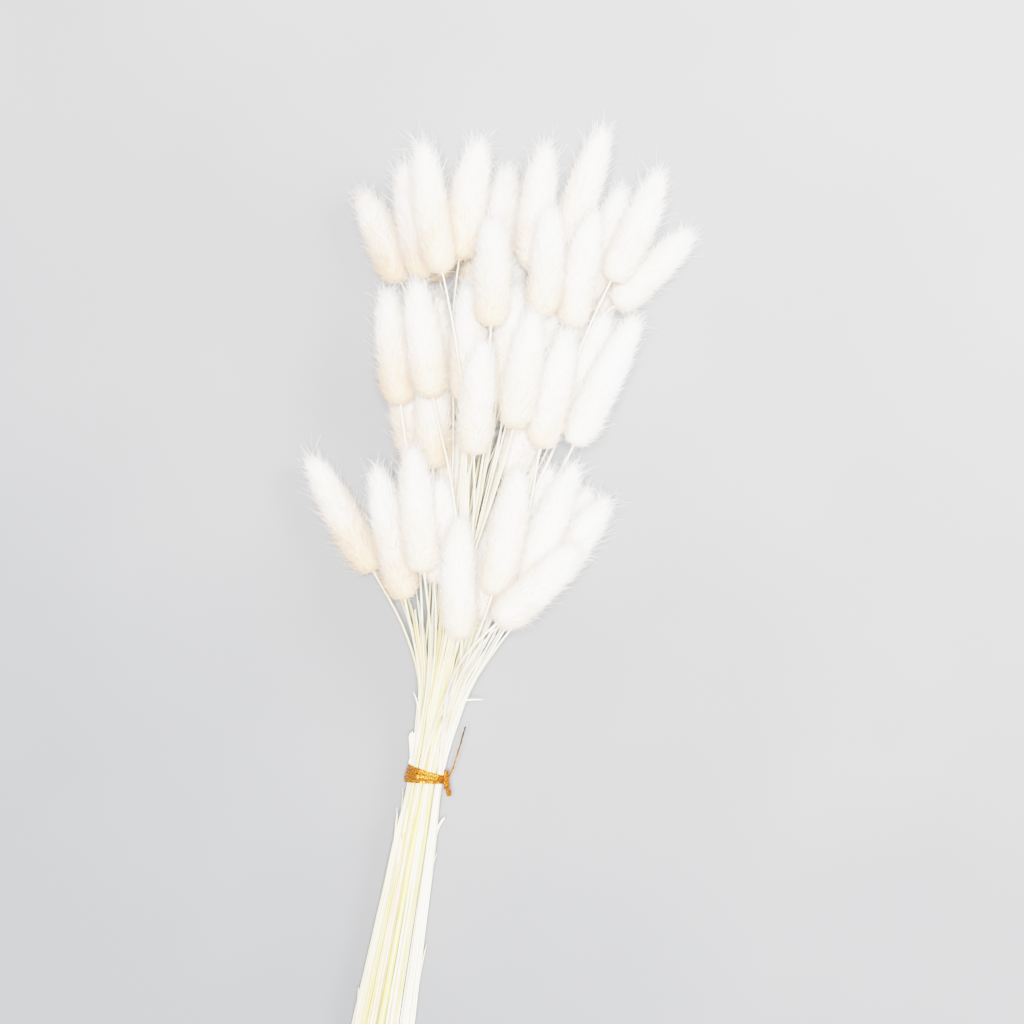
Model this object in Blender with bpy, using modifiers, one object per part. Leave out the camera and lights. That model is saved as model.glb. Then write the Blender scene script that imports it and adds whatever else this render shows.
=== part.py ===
"""Dried bunny tail grass: a bunch of 48 bleached stalks in a gold twist tie, laid on a surface.

Each stalk is one wiry stem that carries one soft head, a dense brush of tufts round a core.
The bunch lies along +Y with its heads at +Y, and its lowest heads are pressed flat where they
rest. The layout is worked out in millimetres and made in metres.
"""

import math

import bmesh
import bpy
import numpy as np
from mathutils import Matrix, Vector

MM = 0.001

# The layout: x across the bunch, y along it from the tie, z up from the surface, all in mm.

# Heads on show: across, along, lean to the right in degrees, length, height of the middle.
HEADS_ON_SHOW = [
    (-58, 223, -34, 44, 22), (-36, 236, -20, 60, 38), (-46, 231, -20, 52, 22), (-21, 243, -3, 54, 38),
    (-8, 238, -4, 50, 22), (5, 245, -2, 55, 38), (23, 256, 8, 57, 38), (45, 244, 16, 53, 38),
    (36, 236, 10, 52, 22), (54, 229, 38, 48, 22), (12, 222, -6, 48, 50), (28, 222, 2, 52, 42),
    (-9, 214, -10, 50, 38), (1, 210, 0, 48, 26), (21, 200, 5, 48, 28),
    (-42, 177, -19, 52, 34), (-34, 156, -18, 50, 20), (-31, 182, -20, 53, 42), (-12, 184, -10, 52, 34),
    (2, 187, -3, 52, 28), (-2, 161, -5, 50, 44), (11, 176, 0, 52, 50), (24, 171, 4, 54, 42),
    (32, 181, 11, 56, 30), (43, 178, 17, 63, 38), (-22, 153, -10, 50, 32), (15, 155, 4, 48, 30),
    (-55, 104, -39, 59, 18), (-31, 100, -23, 60, 36), (-20, 112, -17, 56, 46), (2, 87, -10, 54, 46),
    (17, 109, 0, 57, 46), (32, 114, 12, 60, 40), (38, 109, 18, 54, 18), (44, 110, 27, 46, 26),
    (29, 90, 38, 50, 42), (25, 114, 5, 54, 26), (-13, 104, -8, 46, 30), (11, 95, 3, 52, 32),
]
# Rows of heads underneath: along, how many, how far out the row goes, lean per mm across, length.
ROWS_UNDER = [(228, 4, 40, 0.50, 50), (184, 3, 27, 0.45, 54), (118, 2, 12, 0.70, 54)]

HEAD_RADIUS = 8.0
HEAD_BOW = 1.2
RESTING_HEIGHT = 7.3
CUT_END = -174.0
CUT_SPREAD = 14.0
CUT_NUDGE = 1.5
SPLAY = 2.3
# How much nearer to its place in the tie a stem keeps halfway up, as a share of its way outwards.
HUG = 0.15
STEM_RADIUS_CUT = 0.95
STEM_RADIUS_TIE = 0.78
STEM_RADIUS_TOP = 0.55
TIE_HEIGHT = 11.5
TIE_HALF = np.array([7.7, 6.1])
INSIDE_TIE = TIE_HALF - STEM_RADIUS_TIE - 0.05
GROUP_COLUMNS = 5
SEED = 5

# Settling: the clearance that it aims at, and how deep neighbours in a group press into each other.
CLEARANCE = 0.40
PRESSED = 1.05
RINGS = np.array([CUT_END, -115, -60, -22, -7, 7, 20, 40, 60, 80, 104, 128, 152, 176, 200, 224])
SAMPLES = np.arange(CUT_END + 2, RINGS[-1], 4.0)
AT_TIE = np.abs(SAMPLES) <= 8
BALL_SHARES = (np.arange(9) + 0.5) / 9
ROUNDS = 600
REFRESH = 15


def head_envelope(share):
    """Width of a head from its base, 0, to its tip, 1, as a share of its widest."""
    base = np.sqrt(np.clip(1 - np.clip((0.20 - share) / 0.20, 0, 1) ** 2, 0, 1))
    tip = np.sqrt(np.clip(1 - np.clip((share - 0.42) / 0.58, 0, 1) ** 2.4, 0, 1))
    return base * tip


def stem_radius(y):
    """A stem tapers from its cut end to its head."""
    return np.interp(y, [CUT_END, 0.0, RINGS[-1]], [STEM_RADIUS_CUT, STEM_RADIUS_TIE, STEM_RADIUS_TOP])


class Bunch:
    """Where the stalks lie: heads as bowed rods, stems as points at the stations in RINGS."""

    def __init__(self):
        draw = np.random.default_rng(SEED)
        rows = list(HEADS_ON_SHOW)
        for along, count, half_width, lean_per_mm, length in ROWS_UNDER:
            for place in np.linspace(-half_width, half_width, count):
                at = along + draw.uniform(-8, 8)
                long = length + draw.uniform(-4, 4)
                rows.append((place, at, lean_per_mm * place, long, RESTING_HEIGHT))
        rows = np.array(rows, float)
        self.count = len(rows)
        self.wanted = rows[:, [0, 4]]
        self.middle = self.wanted.copy()
        self.along = rows[:, 1]
        self.wanted_lean = np.tan(np.radians(rows[:, 2]))
        self.lean = self.wanted_lean.copy()
        self.length = rows[:, 3]
        self.rise = 0.35 * (self.middle[:, 1] - TIE_HEIGHT) / self.along
        self.bow = draw.uniform(-HEAD_BOW, HEAD_BOW, self.count)
        self.cut = CUT_END + draw.uniform(0, CUT_SPREAD, self.count)
        self.cut_nudge = draw.uniform(-CUT_NUDGE, CUT_NUDGE, (self.count, 2))
        self.sway = np.zeros((self.count, len(RINGS), 2))
        self.place_in_tie()
        self.group_neighbours()

    def place_in_tie(self):
        """A stem sits in the tie on the side that its head leans to, so that stems don't cross."""
        toward = np.stack([self.middle[:, 0], self.middle[:, 1] - TIE_HEIGHT], 1)
        toward /= self.along[:, None] * np.array([0.55, 0.34])
        rank = np.empty(self.count)
        rank[np.argsort(np.linalg.norm(toward, axis=1))] = (np.arange(self.count) + 0.5) / self.count
        angle = np.arctan2(toward[:, 1], toward[:, 0])
        self.tie = np.stack([np.cos(angle), np.sin(angle)], 1) * np.sqrt(rank)[:, None] * INSIDE_TIE
        for _ in range(400):
            apart = self.tie[:, None] - self.tie[None]
            distance = np.linalg.norm(apart, axis=2) + 99 * np.eye(self.count)
            push = np.clip(1.85 - distance, 0, None)
            self.tie += 0.3 * (apart / distance[..., None] * push[..., None]).sum(1)
            self.tie /= np.maximum(np.linalg.norm(self.tie / INSIDE_TIE, axis=1), 1)[:, None]

    def group_neighbours(self):
        """Columns across the tie, each in a lower and an upper half, with links inside each group."""
        column = np.argsort(np.argsort(self.tie[:, 0])) * GROUP_COLUMNS // self.count
        self.group = np.zeros(self.count, int)
        for number in range(GROUP_COLUMNS):
            members = np.where(column == number)[0]
            half = np.argsort(np.argsort(self.tie[members, 1])) * 2 // len(members)
            self.group[members] = 2 * number + half
        self.linked = np.zeros((self.count, self.count), bool)
        for number in range(2 * GROUP_COLUMNS):
            free = list(np.where(self.group == number)[0])
            joined = [free.pop(0)]
            while free:
                pairs = [(np.linalg.norm(self.tie[a] - self.tie[b]), a, b) for a in joined for b in free]
                _, a, b = min(pairs)
                self.linked[a, b] = True
                self.linked[b, a] = True
                joined.append(b)
                free.remove(b)

    def head_points(self, shares):
        """Points on each head's bowed axis, at shares of its length from the base."""
        axis = np.stack([self.lean, np.ones(self.count), self.rise], 1)
        axis *= (self.length / np.linalg.norm(axis, axis=1))[:, None]
        middle = np.stack([self.middle[:, 0], self.along, self.middle[:, 1]], 1)
        points = middle[:, None] + (shares - 0.5)[None, :, None] * axis[:, None]
        points[..., 0] += self.bow[:, None] * (1 - (2 * shares - 1) ** 2)[None]
        return points

    def stem_rings(self):
        """Each stem at RINGS: an easy curve from the tie to its head, a slow splay below, and its sway."""
        ends = self.head_points(np.array([0.0, 0.06]))
        foot = ends[:, 0, [0, 2]]
        reach = ends[:, 0, 1]
        run = ends[:, 1] - ends[:, 0]
        end_slope = run[:, [0, 2]] / run[:, 1:2]
        tie = self.tie + np.array([0, TIE_HEIGHT])
        start_slope = 0.45 * (foot - tie) / reach[:, None]
        share = np.clip(RINGS[None] / reach[:, None], 0, None)[..., None]
        curve = (2 * share ** 3 - 3 * share ** 2 + 1) * tie[:, None]
        curve = curve + (share ** 3 - 2 * share ** 2 + share) * (reach[:, None] * start_slope)[:, None]
        curve = curve + (3 * share ** 2 - 2 * share ** 3) * foot[:, None]
        curve = curve + (share ** 3 - share ** 2) * (reach[:, None] * end_slope)[:, None]
        curve -= HUG * (foot - tie)[:, None] * 16 * share ** 2 * (1 - share) ** 2
        past = (RINGS[None] - reach[:, None])[..., None]
        curve = np.where(share > 1, foot[:, None] + end_slope[:, None] * past, curve)
        down = np.clip(RINGS / CUT_END, 0, 1)[None]
        end_height = STEM_RADIUS_CUT + 1.15 * (self.tie[:, 1] + INSIDE_TIE[1])
        end = np.stack([SPLAY * self.tie[:, 0], end_height], 1) + self.cut_nudge
        below = tie[:, None] * (1 - down[..., None]) + end[:, None] * down[..., None]
        curve = np.where((RINGS < 0)[None, :, None], below, curve)
        fade = np.clip((reach[:, None] - RINGS[None]) / 40, 0, 1)
        return curve + self.sway * fade[..., None]


def add_rows(total, index, values):
    """Adds each row of values to the row of total that index gives."""
    for column in range(values.shape[1]):
        total[:, column] += np.bincount(index, values[:, column], len(total))
    return total


class Settling:
    """Pushes the stalks clear of each other in many small rounds, as a bunch settles when laid down."""

    def __init__(self, bunch):
        self.bunch = bunch
        count = bunch.count
        self.one, self.two = np.triu_indices(count, 1)
        self.link = bunch.linked[self.one, self.two]
        same = bunch.group[self.one] == bunch.group[self.two]
        self.radii = stem_radius(SAMPLES)
        self.need = 2 * self.radii[:, None] + np.where(same, 0.12, CLEARANCE)[None]
        self.need[AT_TIE] = np.where(self.link, PRESSED, self.need[AT_TIE])
        self.ball_radius = np.tile(HEAD_RADIUS * head_envelope(BALL_SHARES), count)
        self.ball_owner = np.repeat(np.arange(count), len(BALL_SHARES))
        left = np.clip(np.searchsorted(RINGS, SAMPLES) - 1, 0, len(RINGS) - 2)
        share = (SAMPLES - RINGS[left]) / (RINGS[left + 1] - RINGS[left])
        self.weights = np.zeros((len(SAMPLES), len(RINGS)))
        self.weights[np.arange(len(SAMPLES)), left] = 1 - share
        self.weights[np.arange(len(SAMPLES)), left + 1] = share

    def take_places(self):
        """Sample points along the stems and balls along the heads."""
        self.points = np.einsum('fk,ikc->fic', self.weights, self.bunch.stem_rings())
        self.slope = np.gradient(self.points, SAMPLES, axis=0)
        reach = self.bunch.head_points(np.array([0.0]))[:, 0, 1]
        self.there = (SAMPLES[:, None] >= self.bunch.cut) & (SAMPLES[:, None] <= reach - 0.5)
        along = np.repeat(SAMPLES[:, None], self.bunch.count, 1)
        self.cloud = np.stack([self.points[..., 0], along, self.points[..., 1]], 2).reshape(-1, 3)
        self.balls = self.bunch.head_points(BALL_SHARES).reshape(-1, 3)

    def find_neighbours(self):
        """Lists what is near enough to touch in the next rounds."""
        one, two = self.one, self.two
        near = np.linalg.norm(self.points[:, one] - self.points[:, two], axis=2) < 4
        self.station, self.pair = np.where(near & self.there[:, one] & self.there[:, two])
        gap = np.linalg.norm(self.balls[:, None] - self.balls[None], axis=2)
        near = (gap < 2 * HEAD_RADIUS + 6) & (self.ball_owner[:, None] < self.ball_owner[None])
        self.ball_one, self.ball_two = np.where(near)
        gap = np.linalg.norm(self.cloud[:, None] - self.balls[None], axis=2)
        near = (gap < HEAD_RADIUS + 4) & self.there.reshape(-1, 1) & (self.ball_radius > 0.5)
        owner = np.tile(np.arange(self.bunch.count), len(SAMPLES))
        near &= owner[:, None] != self.ball_owner[None]
        self.sample, self.touched = np.where(near)

    def part_stems(self):
        """Stem from stem, at right angles to their common run; linked stems are drawn together at the tie."""
        count = self.bunch.count
        one, two = self.one[self.pair], self.two[self.pair]
        apart = self.points[self.station, one] - self.points[self.station, two]
        run = 0.5 * (self.slope[self.station, one] + self.slope[self.station, two])
        along = (apart * run).sum(1) / np.sqrt(1 + (run ** 2).sum(1))
        flat = np.linalg.norm(apart, axis=1) + 1e-6
        distance = np.sqrt(np.maximum(flat ** 2 - along ** 2, 1e-6))
        lack = np.clip(self.need[self.station, self.pair] - distance, 0, None)
        drawn = self.link[self.pair] & AT_TIE[self.station]
        pull = np.where(drawn, np.clip(distance - PRESSED - 0.1, 0, None), 0)
        push = apart / flat[:, None] * (lack - pull)[:, None] * 0.5
        self.stem_push = np.zeros((len(self.cloud), 2))
        add_rows(self.stem_push, self.station * count + one, push)
        add_rows(self.stem_push, self.station * count + two, -push)
        return lack.max()

    def part_heads(self):
        """Head from head."""
        apart = self.balls[self.ball_one] - self.balls[self.ball_two]
        distance = np.linalg.norm(apart, axis=1) + 1e-6
        lack = self.ball_radius[self.ball_one] + self.ball_radius[self.ball_two] + CLEARANCE - distance
        lack = np.clip(lack, 0, None)
        push = apart / distance[:, None] * lack[:, None] * 0.65
        total = add_rows(np.zeros((len(self.balls), 3)), self.ball_one, push)
        add_rows(total, self.ball_two, -push)
        hits = np.bincount(self.ball_one, lack > 0, len(total)) + np.bincount(self.ball_two, lack > 0, len(total))
        self.ball_push = total / np.maximum(hits, 1)[:, None]
        return lack.max()

    def part_heads_from_stems(self):
        """A stem gives way to a head more than the head does."""
        apart = self.cloud[self.sample] - self.balls[self.touched]
        distance = np.linalg.norm(apart, axis=1) + 1e-6
        thick = self.radii[self.sample // self.bunch.count]
        lack = np.clip(self.ball_radius[self.touched] + thick + CLEARANCE - distance, 0, None)
        push = apart / distance[:, None] * lack[:, None]
        hits = np.maximum(np.bincount(self.sample, lack > 0, len(self.cloud)), 1)
        total = add_rows(np.zeros((len(self.cloud), 3)), self.sample, push) / hits[:, None]
        self.stem_push += 0.8 * total[:, [0, 2]]
        hits = np.maximum(np.bincount(self.touched, lack > 0, len(self.balls)), 1)
        total = add_rows(np.zeros((len(self.balls), 3)), self.touched, push) / hits[:, None]
        self.ball_push -= 0.3 * total
        return lack.max()

    def move_stems(self, cool):
        """The surface and the tie hold the stems too, and a stem bends as gently as it can."""
        push = self.stem_push.reshape(len(SAMPLES), self.bunch.count, 2)
        push[..., 1] += np.clip(self.radii[:, None] - self.points[..., 1], 0, None)
        from_middle = self.points[AT_TIE] - np.array([0, TIE_HEIGHT])
        over = np.maximum(np.linalg.norm(from_middle / INSIDE_TIE, axis=2), 1)[..., None]
        push[AT_TIE] += from_middle * (1 / over - 1)
        push[~self.there] = 0
        pushed = np.linalg.norm(push, axis=2) > 1e-9
        share = np.einsum('fk,fi->ik', self.weights, pushed) + 0.6
        sway = self.bunch.sway
        sway += 1.4 * np.einsum('fk,fic->ikc', self.weights, push) / share[..., None]
        bend = 0.5 * (sway[:, :-2] + sway[:, 2:]) - sway[:, 1:-1]
        sway[:, 1:-1] += 0.35 * (0.15 + cool) * bend
        sway *= 1 - 0.02 * cool

    def move_heads(self, cool):
        """A head shifts and tilts under what presses on it, and sinks until something holds it."""
        bunch = self.bunch
        push = self.ball_push.reshape(bunch.count, len(BALL_SHARES), 3)
        pressed = np.maximum((np.linalg.norm(push, axis=2) > 1e-6).sum(1), 1)[:, None]
        shift = push.sum(1) / pressed
        turn = (push * (BALL_SHARES - 0.5)[None, :, None]).sum(1) / pressed
        bunch.middle += shift[:, [0, 2]] * np.array([0.7, 1.0])
        bunch.rise += np.clip(6 * turn[:, 2] / bunch.length, -0.008, 0.008)
        bunch.lean += np.clip(2 * turn[:, 0] / bunch.length, -0.003, 0.003)
        bunch.middle += (bunch.wanted - bunch.middle) * np.array([0.05, 0.01]) * cool
        bunch.lean += 0.04 * cool * (bunch.wanted_lean - bunch.lean)
        bunch.rise *= 1 - 0.01 * cool
        bunch.middle[:, 1] -= 0.04 * cool
        lowest = (self.balls[:, 2] - 0.92 * self.ball_radius).reshape(bunch.count, -1).min(1)
        bunch.middle[:, 1] += np.clip(-lowest, 0, None)

    def run(self):
        for number in range(ROUNDS):
            cool = max(0.0, 1 - number / (0.8 * ROUNDS))
            self.take_places()
            if number % REFRESH == 0:
                self.find_neighbours()
            lacks = self.part_stems(), self.part_heads(), self.part_heads_from_stems()
            self.move_stems(cool)
            self.move_heads(cool)
        print('left to clear, mm: stems %.2f, heads %.2f, both %.2f' % lacks)
        return self.bunch


# The meshes.

HEAD_SIDES = 8
HEAD_RINGS = 10
TUFT_LOW = 0.72
TUFT_SPREAD = 0.07
TUFT_FORWARD = 0.35
PRESSED_FLAT = 3.6
RESTING_BELOW = 8.7
HEAD_GAP = 0.35

TIE_WIDTH = 4.0
TIE_THICKNESS = 0.7
TIE_GAP = 0.3
TIE_SIDES = 28
KNOT_ANGLE = math.radians(30)
KNOT_STANDOFF = 2.3
KNOT = Vector((
    (TIE_HALF[0] + KNOT_STANDOFF) * math.cos(KNOT_ANGLE),
    0.4,
    TIE_HEIGHT + (TIE_HALF[1] + KNOT_STANDOFF) * math.sin(KNOT_ANGLE),
))
KNOT_SIZE = (2.4, 1.5, 7.0)
KNOT_TURNS = 1.25
LONG_TAIL = [(0.0, 0.0), (1.6, 4.2), (2.7, 12.0), (4.2, 26.0)]
LONG_TAIL_LIFT = 22.0
SHORT_TAIL = [(0.0, 0.0), (0.5, -3.0), (1.5, -7.0)]
SHORT_TAIL_TURN = 40.0
SHORT_TAIL_LIFT = -18.0


def clear_scene():
    for item in list(bpy.data.objects):
        bpy.data.objects.remove(item)


def make_collection(name):
    collection = bpy.data.collections.new(name)
    bpy.context.scene.collection.children.link(collection)
    return collection


def make_material(name, colour, roughness, metallic=0.0):
    material = bpy.data.materials.new(name)
    material.use_nodes = True
    shader = material.node_tree.nodes['Principled BSDF']
    shader.inputs['Base Color'].default_value = (*colour, 1.0)
    shader.inputs['Roughness'].default_value = roughness
    shader.inputs['Metallic'].default_value = metallic
    return material


def add_object(name, data, material, collection):
    item = bpy.data.objects.new(name, data)
    data.materials.append(material)
    collection.objects.link(item)
    return item


def as_mesh_object(source, collection):
    """A curve or modified object made a plain mesh, with its caps welded."""
    bpy.context.view_layer.update()
    graph = bpy.context.evaluated_depsgraph_get()
    mesh = bpy.data.meshes.new_from_object(source.evaluated_get(graph))
    shape = bmesh.new()
    shape.from_mesh(mesh)
    bmesh.ops.remove_doubles(shape, verts=shape.verts, dist=1e-6)
    bmesh.ops.recalc_face_normals(shape, faces=shape.faces)
    shape.to_mesh(mesh)
    shape.free()
    made = bpy.data.objects.new(source.name + '_mesh', mesh)
    made.matrix_world = source.matrix_world
    collection.objects.link(made)
    bpy.data.objects.remove(source)
    return made


def keep_outer_shell(mesh):
    """Fills the hollows that a union seals and drops loose scraps: only the widest shell stays."""
    shape = bmesh.new()
    shape.from_mesh(mesh)
    left = set(shape.verts)
    shells = []
    while left:
        shell = {left.pop()}
        front = list(shell)
        while front:
            vertex = front.pop()
            for edge in vertex.link_edges:
                other = edge.other_vert(vertex)
                if other in left:
                    left.remove(other)
                    shell.add(other)
                    front.append(other)
        width = sum(max(v.co[k] for v in shell) - min(v.co[k] for v in shell) for k in range(3))
        shells.append((width, len(shells), shell))
    widest = max(shells)[2]
    bmesh.ops.delete(shape, geom=[v for v in shape.verts if v not in widest], context='VERTS')
    shape.to_mesh(mesh)
    shape.free()


def union(name, pieces, material, collection):
    """One Boolean union joins the pieces, which are then removed."""
    first, others = pieces[0], pieces[1:]
    tools = make_collection(name + '_pieces')
    for piece in others:
        for home in list(piece.users_collection):
            home.objects.unlink(piece)
        tools.objects.link(piece)
    joiner = first.modifiers.new('Union', 'BOOLEAN')
    joiner.operation = 'UNION'
    joiner.operand_type = 'COLLECTION'
    joiner.collection = tools
    joiner.solver = 'EXACT'
    bpy.context.view_layer.update()
    graph = bpy.context.evaluated_depsgraph_get()
    mesh = bpy.data.meshes.new_from_object(first.evaluated_get(graph))
    for piece in pieces:
        bpy.data.objects.remove(piece)
    bpy.data.collections.remove(tools)
    mesh.materials.clear()
    keep_outer_shell(mesh)
    return add_object(name, mesh, material, collection)


def make_head(name, bunch, number, material, collection):
    """A brush of tufts: on a ball of rings and sides every other point stands out and leans forward."""
    draw = np.random.default_rng([SEED, number])
    shape = bmesh.new()
    bmesh.ops.create_uvsphere(shape, u_segments=HEAD_SIDES, v_segments=HEAD_RINGS + 1, radius=1.0)
    resting = bunch.middle[number, 1] < RESTING_BELOW
    for vertex in shape.verts:
        polar = math.acos(max(-1.0, min(1.0, vertex.co.z)))
        ring = round(polar / math.pi * (HEAD_RINGS + 1))
        side = round(math.atan2(vertex.co.y, vertex.co.x) / (2 * math.pi) * HEAD_SIDES) % HEAD_SIDES
        is_tuft = (ring + side) % 2 == 0
        at_pole = ring in (0, HEAD_RINGS + 1)
        forward = TUFT_FORWARD if is_tuft and not at_pole else 0.0
        share = (ring + forward) / (HEAD_RINGS + 1)
        centre, ahead = bunch.head_points(np.array([share, share + 0.02]))[number]
        axis = Vector(ahead - centre).normalized()
        across = axis.cross(Vector((0, 0, 1))).normalized()
        up = across.cross(axis)
        width = 1.0 if is_tuft else TUFT_LOW
        width -= draw.uniform(0, TUFT_SPREAD)
        width *= HEAD_RADIUS * float(head_envelope(np.array(share)))
        angle = 2 * math.pi * (side + 0.5) / HEAD_SIDES
        place = Vector(centre) + width * (math.cos(angle) * across + math.sin(angle) * up)
        underneath = resting and math.sin(angle) < -0.9
        if place.z < (PRESSED_FLAT if underneath else 0.0):
            place.z = 0.0
        vertex.co = place * MM
    bmesh.ops.triangulate(shape, faces=shape.faces)
    bmesh.ops.recalc_face_normals(shape, faces=shape.faces)
    mesh = bpy.data.meshes.new(name)
    shape.to_mesh(mesh)
    shape.free()
    return add_object(name, mesh, material, collection)


def stem_path(bunch, number):
    """Points of a stem from its cut end to just below its head."""
    rings = bunch.stem_rings()[number]
    base, ahead = bunch.head_points(np.array([0.0, 0.03]))[number]
    axis = (ahead - base) / np.linalg.norm(ahead - base)
    top = base - HEAD_GAP * axis
    cut = bunch.cut[number]
    inner = [k for k, y in enumerate(RINGS) if cut + 8 < y < top[1] - 8]
    lowest = [np.interp(cut, RINGS, rings[:, 0]), cut, np.interp(cut, RINGS, rings[:, 1])]
    return np.array([lowest] + [[rings[k, 0], RINGS[k], rings[k, 1]] for k in inner] + [top])


def make_stem(bunch, number, collection):
    """A tapered tube through the stem's points."""
    path = stem_path(bunch, number)
    curve = bpy.data.curves.new('stem', 'CURVE')
    curve.dimensions = '3D'
    curve.bevel_depth = MM
    curve.bevel_resolution = 1
    curve.use_fill_caps = True
    spline = curve.splines.new('POLY')
    spline.points.add(len(path) - 1)
    for point, place in zip(spline.points, path):
        point.co = (*(place * MM), 1.0)
        point.radius = float(stem_radius(place[1]))
    item = bpy.data.objects.new('stem', curve)
    collection.objects.link(item)
    return as_mesh_object(item, collection)


def make_stems(bunch, material, collection):
    """Each group of neighbours is one body, fused where the tie presses them together."""
    for group in range(2 * GROUP_COLUMNS):
        members = np.where(bunch.group == group)[0]
        pieces = [make_stem(bunch, number, collection) for number in members]
        union('stems_%02d' % (group + 1), pieces, material, collection)


def make_turn(slant, offset, lift, collection):
    """One turn of the tie: an open sleeve round the stems, given its thickness."""
    bpy.ops.mesh.primitive_cylinder_add(vertices=TIE_SIDES, radius=1.0, depth=1.0, end_fill_type='NOTHING')
    turn = bpy.context.object
    half = TIE_HALF + TIE_GAP + lift
    scale = Matrix.Diagonal((half[0] * MM, half[1] * MM, TIE_WIDTH * MM, 1.0))
    lay_down = Matrix.Rotation(math.radians(-90), 4, 'X')
    slanted = Matrix.Rotation(math.radians(slant), 4, 'Z')
    place = Matrix.Translation(Vector((0, offset, TIE_HEIGHT)) * MM)
    turn.data.transform(place @ slanted @ lay_down @ scale)
    wall = turn.modifiers.new('Wall', 'SOLIDIFY')
    wall.thickness = TIE_THICKNESS * MM
    wall.offset = 1.0
    wall.use_even_offset = True
    return as_mesh_object(turn, collection)


def make_knot(collection):
    """The strip's two ends twisted round each other: a bar turned about its own length."""
    bpy.ops.mesh.primitive_cube_add(size=1.0)
    knot = bpy.context.object
    shape = bmesh.new()
    shape.from_mesh(knot.data)
    long_edges = [edge for edge in shape.edges if abs(edge.verts[0].co.z - edge.verts[1].co.z) > 0.5]
    bmesh.ops.subdivide_edges(shape, edges=long_edges, cuts=7, use_grid_fill=True)
    for vertex in shape.verts:
        twist = Matrix.Rotation(2 * math.pi * KNOT_TURNS * vertex.co.z, 3, 'Z')
        sized = Vector([vertex.co[k] * KNOT_SIZE[k] for k in range(3)])
        vertex.co = twist @ sized
    lean = Matrix.Rotation(math.radians(65), 4, 'X') @ Matrix.Rotation(math.radians(10), 4, 'Y')
    shape.transform(Matrix.Translation(KNOT * MM) @ lean @ Matrix.Diagonal((MM, MM, MM, 1.0)))
    shape.to_mesh(knot.data)
    shape.free()
    return as_mesh_object(knot, collection)


def make_tail(points, turn, lift, collection):
    """A free end of the strip, standing on its edge: a flat path raised to the strip's width."""
    curve = bpy.data.curves.new('tail', 'CURVE')
    curve.dimensions = '2D'
    curve.fill_mode = 'NONE'
    curve.extrude = 0.5 * 0.85 * TIE_WIDTH * MM
    spline = curve.splines.new('BEZIER')
    spline.resolution_u = 3
    spline.bezier_points.add(len(points) - 1)
    for knot, (x, y) in zip(spline.bezier_points, points):
        knot.co = Vector((x, y, 0)) * MM
        knot.handle_left_type = 'AUTO'
        knot.handle_right_type = 'AUTO'
    tail = bpy.data.objects.new('tail', curve)
    collection.objects.link(tail)
    tail.location = KNOT * MM
    tail.rotation_euler = (math.radians(lift), math.radians(turn), 0)
    wall = tail.modifiers.new('Wall', 'SOLIDIFY')
    wall.thickness = TIE_THICKNESS * MM
    wall.offset = 0.0
    return as_mesh_object(tail, collection)


def make_tie(material, collection):
    """Two turns that cross at the right, the twisted knot and its two tails, in one body."""
    pieces = [
        make_turn(-5.0, 0.9, 0.0, collection),
        make_turn(5.0, -0.9, 0.35, collection),
        make_knot(collection),
        make_tail(LONG_TAIL, 0.0, LONG_TAIL_LIFT, collection),
        make_tail(SHORT_TAIL, SHORT_TAIL_TURN, SHORT_TAIL_LIFT, collection),
    ]
    union('twist_tie', pieces, material, collection)


def centre_on_origin(collection):
    """Puts the origin under the middle of the bunch, on the surface."""
    corners = [vertex.co for item in collection.objects for vertex in item.data.vertices]
    middle = [(max(c[k] for c in corners) + min(c[k] for c in corners)) / 2 for k in range(2)]
    for item in collection.objects:
        item.data.transform(Matrix.Translation((-middle[0], -middle[1], 0)))
    print('middle of the bunch, mm from the tie:', [round(m / MM, 2) for m in middle])


def main():
    clear_scene()
    collection = make_collection('dried_bunny_tail_grass')
    bunch = Settling(Bunch()).run()
    grass_head = make_material('grass_head', (0.86, 0.82, 0.74), 0.9)
    grass_stem = make_material('grass_stem', (0.80, 0.74, 0.55), 0.6)
    gold_foil = make_material('gold_foil', (0.85, 0.55, 0.12), 0.3, 0.9)
    for number in range(bunch.count):
        make_head('head_%02d' % (number + 1), bunch, number, grass_head, collection)
    make_stems(bunch, grass_stem, collection)
    make_tie(gold_foil, collection)
    centre_on_origin(collection)


main()
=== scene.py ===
# %% [markdown]
# Dried bunny tail grass, laid down.
#
# A florist's bunch of bleached bunny tail grass: 48 thin straw stems, each with one soft white head,
# held by a strip of gold foil twisted tight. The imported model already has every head, every group of
# stems and the tie as plain solids. This lesson dresses them: hair for the heads, finer stems, dry
# wisps, and a crinkled foil strip. Each fine piece lies where its plain solid lies.

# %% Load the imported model
import math

import bmesh
import bpy
import numpy as np
from mathutils import Matrix, Vector


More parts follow.
